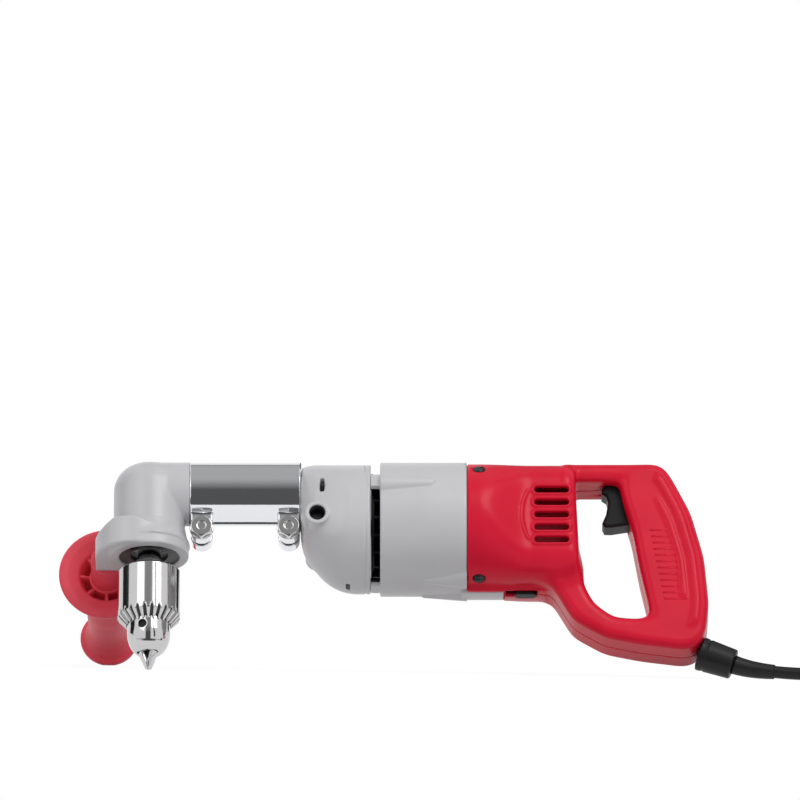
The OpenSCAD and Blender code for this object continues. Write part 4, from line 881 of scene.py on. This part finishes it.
(_, _, CHUCK_FOOT), (_, _, CHUCK_TOP) = extent("chuck_sleeve")
CHUCK_R, CHUCK_BEVEL, CHUCK_WALL, CHUCK_LAP = 23.0, 6.5, 1.95, 3.0
CHUCK_LOW, CHUCK_BORE_R = CHUCK_FOOT + CHUCK_BEVEL, CHUCK_R - CHUCK_WALL
NOSE_R, NOSE_TIP, NOSE_IN, NOSE_TALL, MOUTH_R, MOUTH_TOP = 15.9, -128.0, 11.0, 17.0, 5.6, -118.0
CHUCK_BACK_R, CHUCK_BACK = 18.0, CHUCK_TOP + 3.0
KEY_TEETH, TOOTH_DEPTH, TOOTH_GAP_HALF, TOOTH_FLARE, GULLET_IN = 26, 2.5, 0.35, 0.42, 1.7
TOOTH_MID_IN, TOOTH_MID_LOW = 3.15, 3.25
KEY_HOLE_R, KEY_HOLE_Z, KEY_HOLE_FLOOR = 3.15, CHUCK_LOW - 10.0, 8.0
JAWS, JAW_TURN, JAW_SLOPE, JAW_R, JAW_FLAT, JAW_TIP_R, JAW_DROP, JAW_LEN = 3, 73.0, 13.0, 3.25, 2.2, 2.1, 140.0, 44.0
JAW_PITCH, JAW_TIP_FLARE, JAW_OUT, JAW_ROOM, JAW_TOP = 360 / JAWS, 0.433, 7, 12, -95


def beside_spokes(u, v, count):
    """How far points lie from the nearest of evenly spaced spokes."""
    pitch = 2 * pi / count
    return abs(hypot(u, v) * np.sin((np.arctan2(v, u) + pitch / 2) % pitch - pitch / 2))


def tooth_height(r, z):
    """Height above the roots of the key teeth, square to the sleeve's bevel."""
    return ((r - CHUCK_R + TOOTH_MID_IN) - (z - CHUCK_LOW + TOOTH_MID_LOW)) / sqrt(2) + TOOTH_DEPTH


@piece((-25, -25, CHUCK_LOW - 9), (25, 25, CHUCK_TOP + 2), 0.5, "polished_steel", "chuck_sleeve", "chuck_sleeve")
def chuck_sleeve_teeth(p):
    x, y, z = p
    r = hypot(x, y)
    profile = polygon(r, z, [
        (CHUCK_BORE_R, CHUCK_TOP), (CHUCK_R - 1.2, CHUCK_TOP), (CHUCK_R, CHUCK_TOP - 1.2), (CHUCK_R, CHUCK_LOW),
        (NOSE_R + 0.8, CHUCK_FOOT), (NOSE_R + 0.3, CHUCK_FOOT),
        (NOSE_R + 0.3, CHUCK_LOW + CHUCK_LAP), (CHUCK_BORE_R, CHUCK_LOW + CHUCK_LAP),
    ])
    height = tooth_height(r, z)
    gap = (beside_spokes(x, y, KEY_TEETH) - TOOTH_GAP_HALF - TOOTH_FLARE * height) * 0.9
    return carve(profile, meet(gap, -height), 0.25)


@piece((-24, -24, CHUCK_LOW - 8), (24, 24, CHUCK_LOW + 6), 0.45, "dark_steel", "chuck_sleeve")
def chuck_gullet_shade(p):
    """Painted shade: a dark steel layer at the floor of the notches between the key teeth, where shade falls."""
    r = hypot(p[0], p[1])
    layer = span(tooth_height(r, p[2]), 0.2, TOOTH_DEPTH - GULLET_IN + 0.2)
    return meet(layer, r - CHUCK_R + 0.5, NOSE_R + 1.2 - r, CHUCK_FOOT + 0.4 - p[2])


def turned_by(p, angle):
    """How far points lie out from the chuck's axis in a direction, and to the side of it."""
    turn = radians(angle)
    return p[0] * cos(turn) + p[1] * sin(turn), p[1] * cos(turn) - p[0] * sin(turn)


def key_hole_lines(p, index):
    """How far points lie out towards a key hole, and their distance from its axis."""
    out, aside = turned_by(p, JAW_TURN + JAW_PITCH * (index + 0.5))
    return out, hypot(aside, p[2] - KEY_HOLE_Z)


def jaw_lines(p, index):
    """The distance from a jaw's axis, the height along it, and the side towards the chuck's outside."""
    out, aside = turned_by(p, JAW_TURN + JAW_PITCH * index)
    slope, past, up = radians(JAW_SLOPE), out - JAW_TIP_R, p[2] + JAW_DROP
    away = past * cos(slope) - up * sin(slope)
    return hypot(away, aside), past * sin(slope) + up * cos(slope), away, out, aside


@piece((-23, -23, NOSE_TIP - 4), (23, 23, CHUCK_TOP + 5), 0.5, "polished_steel", "chuck", "chuck_body", "chuck_nose")
def chuck_body_turned(p):
    r = hypot(p[0], p[1])
    turns = [radians(turn) for turn in range(0, 71, 7)]
    ogive = [(NOSE_R - NOSE_IN * (1 - cos(a)), NOSE_TIP + NOSE_TALL * (1 - sin(a)) - 1) for a in turns]
    profile = polygon(r, p[2], [
        (0, CHUCK_BACK), (CHUCK_BACK_R - 2, CHUCK_BACK), (CHUCK_BACK_R, CHUCK_BACK - 2.5),
        (CHUCK_BACK_R, CHUCK_TOP - 2), (CHUCK_BORE_R - 0.25, CHUCK_TOP - 2), (CHUCK_BORE_R - 0.25, CHUCK_LOW + 10),
        (NOSE_R, CHUCK_LOW + 8), *ogive, (0, ogive[-1][1]),
    ])
    body = carve(profile, meet(r - MOUTH_R, p[2] - MOUTH_TOP), 0.6)
    for i in range(JAWS):
        reach, along, *_ = jaw_lines(p, i)
        body = carve(body, meet(reach - JAW_R - 0.3, along - JAW_LEN + 4), 0.3)
        out, off = key_hole_lines(p, i)
        body = carve(body, meet(off - KEY_HOLE_R, KEY_HOLE_FLOOR - out), 0.5)
    return body


@piece((-18, -18, KEY_HOLE_Z - 5), (18, 18, KEY_HOLE_Z + 5), 0.4, "black_plastic", "chuck")
def key_hole_shade(p):
    """Painted shade: black discs at the floors of the key holes, where shade falls in the steel."""
    holes = [key_hole_lines(p, i) for i in range(JAWS)]
    depth = KEY_HOLE_FLOOR + 0.5, NOSE_R - 2.2
    return join(*(meet(off - KEY_HOLE_R - 0.1, span(out, *depth)) for out, off in holes))


for number in range(JAWS):

    def jaw_form(p, number=number):
        reach, along, away, out, aside = jaw_lines(p, number)
        rod = rounded(reach - JAW_R, span(along, 0, JAW_LEN), 0.3)
        half, up = radians(JAW_PITCH / 2), p[2] + JAW_DROP
        wedge = abs(aside) * cos(half) - (out - 0.15) * sin(half)
        tip = hypot(p[0], p[1]) - JAW_TIP_R - 0.3 - up * JAW_TIP_FLARE
        return trim(meet(rod, away - JAW_FLAT, wedge, -up), tip / hypot(1, JAW_TIP_FLARE), 0.4)

    turn = radians(JAW_TURN + JAW_PITCH * number)
    cx, cy = JAW_OUT * cos(turn), JAW_OUT * sin(turn)
    low, high = (cx - JAW_ROOM, cy - JAW_ROOM, -JAW_DROP - 1), (cx + JAW_ROOM, cy + JAW_ROOM, JAW_TOP)
    mesh_of(f"jaw_tip_{number + 1}", jaw_form, low, high, 0.35, "steel", f"jaw_{number + 1}", f"jaw_{number + 1}")

# Side handle

GUARD_R, GUARD_RIM, GUARD_MOUTH_R, GRIP_R, GRIP_END_R = 34.8, LUG_REAR + 24.0, 20.0, 14.5, 21.0
GUARD_HUB_R, GUARD_HOLLOW_R, RIB_COUNT, RIB_HALF, RIB_DEEP, HANDLE_ROUND = 11.0, 12.5, 8, 0.7, 5.5, 0.4
GRIP_REACH = extent("side_handle_grip")[1][1] - 3.0


@piece((STUD_X - GUARD_R - 3, LUG_REAR - 2, STUD_Z - GUARD_R - 3),
       (STUD_X + GUARD_R + 3, GRIP_REACH + 5, STUD_Z + GUARD_R + 3), 0.8, "guard_plastic", "head", "side_handle_grip")
def side_handle(p):
    x, y, z = p[0] - STUD_X, p[1] - GUARD_RIM, p[2] - STUD_Z
    r, foot, tip = hypot(x, z), LUG_REAR - GUARD_RIM, GRIP_REACH - GUARD_RIM
    outside = polygon(r, y, [
        (-5, foot), (GUARD_HUB_R, foot), (GUARD_HUB_R, 8), (GUARD_MOUTH_R, 4), (GUARD_R - 6, 0.6), (GUARD_R - 2, 0),
        (GUARD_R, 1), (GUARD_R, 3), (GUARD_R - 4, 8), (GRIP_R + 7, 17), (GRIP_R + 2.6, 23), (GRIP_R + 0.6, 30),
        (GRIP_R, 38), (GRIP_R + 0.5, 50), (GRIP_R + 1.0, 62), (GRIP_R + 0.6, 76), (GRIP_R - 0.5, tip - 22),
        (GRIP_R + 0.4, tip - 16), (GRIP_END_R - 3, tip - 5.5), (GRIP_END_R, tip - 3), (GRIP_END_R, tip),
        (GRIP_END_R - 3, tip + 3), (-5, tip + 3),
    ])
    hollow = polygon(r, y, [
        (GUARD_HOLLOW_R, -PAST), (GUARD_MOUTH_R + 3, -PAST), (GUARD_MOUTH_R, 6), (GRIP_R + 1, 19), (GUARD_HOLLOW_R, 19),
    ])
    rib = meet(beside_spokes(x, z, RIB_COUNT) - RIB_HALF, RIB_DEEP - y)
    return carve(outside, meet(hollow, -rib), 1.6) - HANDLE_ROUND


# Reversing lever, and the cord guard, a rubber boot

SHELL_LOW_Z = MOTOR_Z - SHELL_R
KNOB_LOW, KNOB_TOP, KNOB_CORNER = SHELL_LOW_Z - 3.8, SHELL_LOW_Z + 8.5, 3.5
FOOT_HALF, FOOT_WIDE, FOOT_TOP = 9.0, 7.25, SHELL_LOW_Z + 11.0


@piece((LEVER_X - 11, -9, SHELL_LOW_Z - 5.5), (LEVER_X + 11, 9, SHELL_LOW_Z + 13), 0.4, "black_plastic",
       "reversing_lever", "reversing_lever")
def reversing_knob(p):
    x, y, z = p
    knob = rounded(block(x - LEVER_X, y, LEVER_HALF, LEVER_WIDE, KNOB_CORNER), span(z, KNOB_LOW, KNOB_TOP), 0.8)
    foot = meet(block(x - LEVER_X, y, FOOT_HALF, FOOT_WIDE, 1), span(z, KNOB_TOP, FOOT_TOP))
    return join(knob, foot)


BOOT_R, BOOT_END_R, BOOT_LEN, GROOVE_AT, GROOVE_R = 12.5, 11.0, 26.0, 5.0, 1.1


@piece((BOOT_X - 8, -14, BOOT_Z - 27), (BOOT_X + 33, 14, BOOT_Z + 16), 0.5, "black_rubber", "drill_body",
       "cord_guard")
def cord_guard_moulding(p):
    x, y, z = p
    turn = radians(BOOT_ANGLE)
    along = boot_height(x, z)
    off = hypot(y, (x - BOOT_X) * sin(turn) + (z - BOOT_Z) * cos(turn))
    body = cone(along, off, 0, BOOT_LEN, BOOT_R, BOOT_END_R, 1.2)
    groove = hypot(off - BOOT_R - 0.3, along - GROOVE_AT) - GROOVE_R
    return carve(body, groove, 0.5)


# Cord: a lead on the floor, a coil of two layers held by a tie, and a plug

CORD_R, RELIEF_R, RELIEF_END_R, RELIEF_POINTS = 4.5, 7.0, 5.3, 5
LEAD_ROUTE = [
    (6, -0.9, 8.8), (12, -1.8, 7.5), (18, -2.7, 6.6), (24, -3.6, 6), (30, -4.4, 5.6), (37, -5.2, 5.1), (45, -6, 4.7),
    (54, -6.7, 4.5), (63, -7.2, 4.5), (73, -7.6, 4.5), (84, -7.9, 4.5), (96, -8, 4.5), (108, -8, 4.6), (120, -8, 4.8),
    (132, -8, 5.1), (144, -8, 5.4), (155, -8, 5.6),
]
COIL_OUT, COIL_CLIMB, COIL_TURNS, COIL_RINGS, COIL_LIFT = 69.0, 3.5, 6.25, 225, 1.2
COIL_STEP, COIL_AWAY, PLUG_LEAD = 2 * CORD_R + 0.6, 165.0, 50.0
boot_turn = radians(BOOT_ANGLE)
cord_exit = row_point(BOOT_X + BOOT_LEN * cos(boot_turn), 0, BOOT_Z - BOOT_LEN * sin(boot_turn))
coil_centre = np.array([cord_exit.x / MM + COIL_AWAY, cord_exit.y / MM + LEAD_ROUTE[-1][1] + COIL_OUT])


def coil_place(turn):
    """A point of the coil: inwards on the floor, half a turn up, then outwards on top."""
    past = turn - COIL_CLIMB
    radius = COIL_OUT - COIL_STEP * min(turn, COIL_CLIMB)
    if past > 0:
        radius += COIL_STEP * (1.5 * past if past < 1 else past + 0.5)
    t = min(max((past + 0.5) / 0.5, 0), 1)
    angle = radians(turn * 360 - 90)
    across = coil_centre + radius * np.array([cos(angle), sin(angle)])
    return (*across, COIL_LIFT + CORD_R + COIL_STEP * t * t * (3 - 2 * t))


def flowing(places, steps):
    """More points between the given ones, on a curve through them."""
    known = np.array(places, float)
    ends = np.vstack([2 * known[0] - known[1], known, 2 * known[-1] - known[-2]])
    line = []
    for before, here, there, after in zip(ends, ends[1:], ends[2:], ends[3:]):
        for t in np.arange(steps) / steps:
            bend, twist = 2 * before - 5 * here + 4 * there - after, 3 * here - before - 3 * there + after
            line.append(0.5 * (2 * here + (there - before) * t + bend * t**2 + twist * t**3))
    return line + [known[-1]]


cord_lead = [tuple(cord_exit / MM)] + [(cord_exit.x / MM + x, cord_exit.y / MM + y, z) for x, y, z in LEAD_ROUTE]
coil = [coil_place(COIL_TURNS * ring / COIL_RINGS) for ring in range(COIL_RINGS + 1)]
plug_turn = radians(COIL_TURNS * 360)
plug_along = np.array([cos(plug_turn), sin(plug_turn), 0])
plug_start = np.array(coil[-1]) + PLUG_LEAD * plug_along
cord_path = np.array(flowing(cord_lead + coil[:1], 3)[:-1] + [np.array(place) for place in coil] + [plug_start]) * MM

cord = tube_piece("cord", cord_path, CORD_R, CORD_R, "black_rubber", "drill_body", "cord_run", "cord_coil")
relief_path = np.array(flowing(cord_lead[: RELIEF_POINTS + 1], 3)) * MM
relief = tube_piece("strain_relief_taper", relief_path, RELIEF_R, RELIEF_END_R, "black_rubber", "drill_body",
                    "strain_relief")

PLUG_R, PLUG_LEN, PLUG_SIDES = COIL_LIFT + CORD_R + COIL_STEP, 44.0, 40
PLUG_PROFILE = [
    (CORD_R + 1, 0), (CORD_R + 1.5, 0.8), (CORD_R + 2.5, 14), (CORD_R + 4, 17), (PLUG_R - 2.5, 19), (PLUG_R - 0.6, 21),
    (PLUG_R, 23), (PLUG_R, PLUG_LEN - 3), (PLUG_R - 0.9, PLUG_LEN - 0.9), (PLUG_R - 3, PLUG_LEN),
]


def turned_piece(name, profile, sides, start, along, slot, body, *replaced):
    """A lathe piece: (radius, height) pairs turned about a level axis of the row frame."""
    side, up = np.cross(along, (0, 0, 1)), np.array((0, 0, 1))
    ways = [side * cos(2 * pi * k / sides) + up * sin(2 * pi * k / sides) for k in range(sides)]
    points = [(start + along * height + radius * way) * MM for radius, height in profile for way in ways]
    last = (len(profile) - 1) * sides
    faces = [tuple(reversed(range(sides))), tuple(range(last, last + sides))]
    for ring in range(0, last, sides):
        for k in range(sides):
            j = (k + 1) % sides
            faces.append((ring + k, ring + j, ring + sides + j, ring + sides + k))
    return add_piece(name, points, faces, slot, body, *replaced)


plug = turned_piece("plug_moulding", PLUG_PROFILE, PLUG_SIDES, plug_start, plug_along, "black_rubber", "drill_body",
                    "plug_body")

# Stage: a white floor and background, seen along +Y, with dark flags that only metal mirrors

CHUCK_PIXEL, AXIS_PIXEL, PICTURE, MM_PER_PIXEL, CAMERA_DISTANCE = 149.6, 494.5, 800, 0.735, 12.0


def make_camera():
    """A long lens that shows the chuck's axis and the spindle's axis at their pixels."""
    half, back = PICTURE / 2, Vector((0, -1, 0))
    up = back.cross(TOOL_X).normalized()
    target = row_point((half - CHUCK_PIXEL) * MM_PER_PIXEL, 0, 0) + up * (AXIS_PIXEL - half) * MM_PER_PIXEL * MM
    data = bpy.data.cameras.new("camera")
    data.sensor_width = 36.0
    data.lens = data.sensor_width * CAMERA_DISTANCE / (PICTURE * MM_PER_PIXEL * MM)
    data.clip_end = 100.0
    camera = bpy.context.scene.camera = new_object("camera", data)
    turn = Matrix((up.cross(back), up, back)).transposed()
    camera.matrix_world = Matrix.Translation(target + back * CAMERA_DISTANCE) @ turn.to_4x4()


make_camera()


def seen_share(tree):
    """1 for rays from the camera, a mirror or glass, and 0 for light that falls on the object."""
    rays = [tree.node("ShaderNodeLightPath", output=f"Is {kind} Ray") for kind in ("Camera", "Glossy", "Transmission")]
    return rays[0].math("MAXIMUM", rays[1]).math("MAXIMUM", rays[2])


def stage_piece(name, points, faces, finish):
    mesh = new_mesh(name, points, faces)
    mesh.materials.append(finish.material)
    staged = new_object(name, mesh)
    return staged


FLOOR_FRONT, FLOOR_BACK, FLOOR_SIDE, FLOOR_GLOW, FLOOR_TONE, FLOOR_SEEN_TONE = -0.22, 1.2, 1.4, 0.92, 0.6, 0.12


def make_floor():
    f = Finish("floor_white")
    share = seen_share(f)
    seen = share * FLOOR_GLOW
    own = FLOOR_TONE - share * (FLOOR_TONE - FLOOR_SEEN_TONE)
    f.set(Base_Color=f.grey(own), Emission_Color=f.grey(seen), Emission_Strength=1.0, Roughness=0.8)
    f.set(Specular_IOR_Level=0.0)
    corners = [(x, y, 0) for y in (FLOOR_FRONT, FLOOR_BACK) for x in (-FLOOR_SIDE, FLOOR_SIDE)]
    stage_piece("floor", corners, [(0, 1, 3, 2)], f)


make_floor()

FLAG_DISTANCE, FLAG_TOP, FLAG_STEPS = 1.3, 1.5, 6
FLAG_SPANS = [(-118, -90), (29, 38), (86, 106), (128, 168)]
FRONT_FLAG = [
    (FLOOR_FRONT, 0.0), (-FLAG_DISTANCE, 0.0), (-FLAG_DISTANCE, 0.8), (-0.8, 1.4), (0.4, FLAG_TOP), (1.0, 1.1),
]
FRONT_FLAG_SIDES = (-0.36, 0.26)
FLOOR_FLAG_SIDES, FLOOR_FLAG = (0.13, 0.47), [(-0.125, 0.002), (FLOOR_FRONT, 0.002)]
CHUCK_FLAG = [(FLAG_DISTANCE, 0.15), (FLAG_DISTANCE, 0.9), (0.6 * FLAG_DISTANCE, FLAG_TOP)]


def add_flag(name, rows, finish):
    """A card of rows of points that only mirrors see."""
    wide = len(rows[0])
    faces = [
        (wide * i + k, wide * i + k + 1, wide * (i + 1) + k + 1, wide * (i + 1) + k)
        for i in range(len(rows) - 1) for k in range(wide - 1)
    ]
    flag = stage_piece(name, [point for row in rows for point in row], faces, finish)
    flag.visible_camera = flag.visible_diffuse = flag.visible_shadow = False


def flag_finish(name, foot):
    """A card's own glow, from its tone at the foot to a lighter grey at the top."""
    f = Finish(name)
    height = f.node("ShaderNodeSeparateXYZ", [f.place()], output="Z")
    tone = foot + 0.36 * height.step(0.45, FLAG_TOP)
    return f.set(Base_Color=(0, 0, 0, 1), Specular_IOR_Level=0.0, Emission_Strength=1.0, Emission_Color=f.grey(tone))


def make_flags():
    """A card before the sleeve, one on the floor before the body, and cards round the chuck by their bearing."""
    at = row_point(0, 0, CHUCK_LOW)
    grey, dark = flag_finish("flag_grey", 0.10), flag_finish("flag_dark", 0.02)
    add_flag("flag_front", [[(at.x + x, y, z) for x in FRONT_FLAG_SIDES] for y, z in FRONT_FLAG], grey)
    add_flag("flag_floor", [[(at.x + x, y, z) for x in FLOOR_FLAG_SIDES] for y, z in FLOOR_FLAG], grey)
    for number, (low, high) in enumerate(FLAG_SPANS):
        bearings = [radians(low + (high - low) * i / FLAG_STEPS) for i in range(FLAG_STEPS + 1)]
        rows = [[(at.x + reach * sin(b), at.y - reach * cos(b), z) for b in bearings] for reach, z in CHUCK_FLAG]
        add_flag(f"flag_{number + 1}", rows, dark)


make_flags()

WORLD_LIGHT = 0.62


def make_world():
    world = bpy.data.worlds.new("studio")
    world.use_nodes = True
    bpy.context.scene.world = world
    tree = Tree(world.node_tree)
    background = tree.nodes["Background"]
    background.inputs["Color"].default_value = (1, 1, 1, 1)
    tree.plug(background.inputs["Strength"], WORLD_LIGHT + (1 - WORLD_LIGHT) * seen_share(tree))


make_world()


def area_light(name, place, aim, size, power):
    data = bpy.data.lights.new(name, "AREA")
    data.shape, data.size, data.energy = "SQUARE", size, power
    lamp = new_object(name, data)
    lamp.location = place
    lamp.rotation_euler = (Vector(aim) - Vector(place)).to_track_quat("-Z", "Y").to_euler()


area_light("key", (0.8, -1.2, 1.8), (0, 0, 0.1), 1.0, 16)
area_light("fill", (-1.2, -1.3, 1.4), (0, 0, 0.1), 0.8, 2.5)

bpy.context.scene.view_settings.view_transform = "Standard"
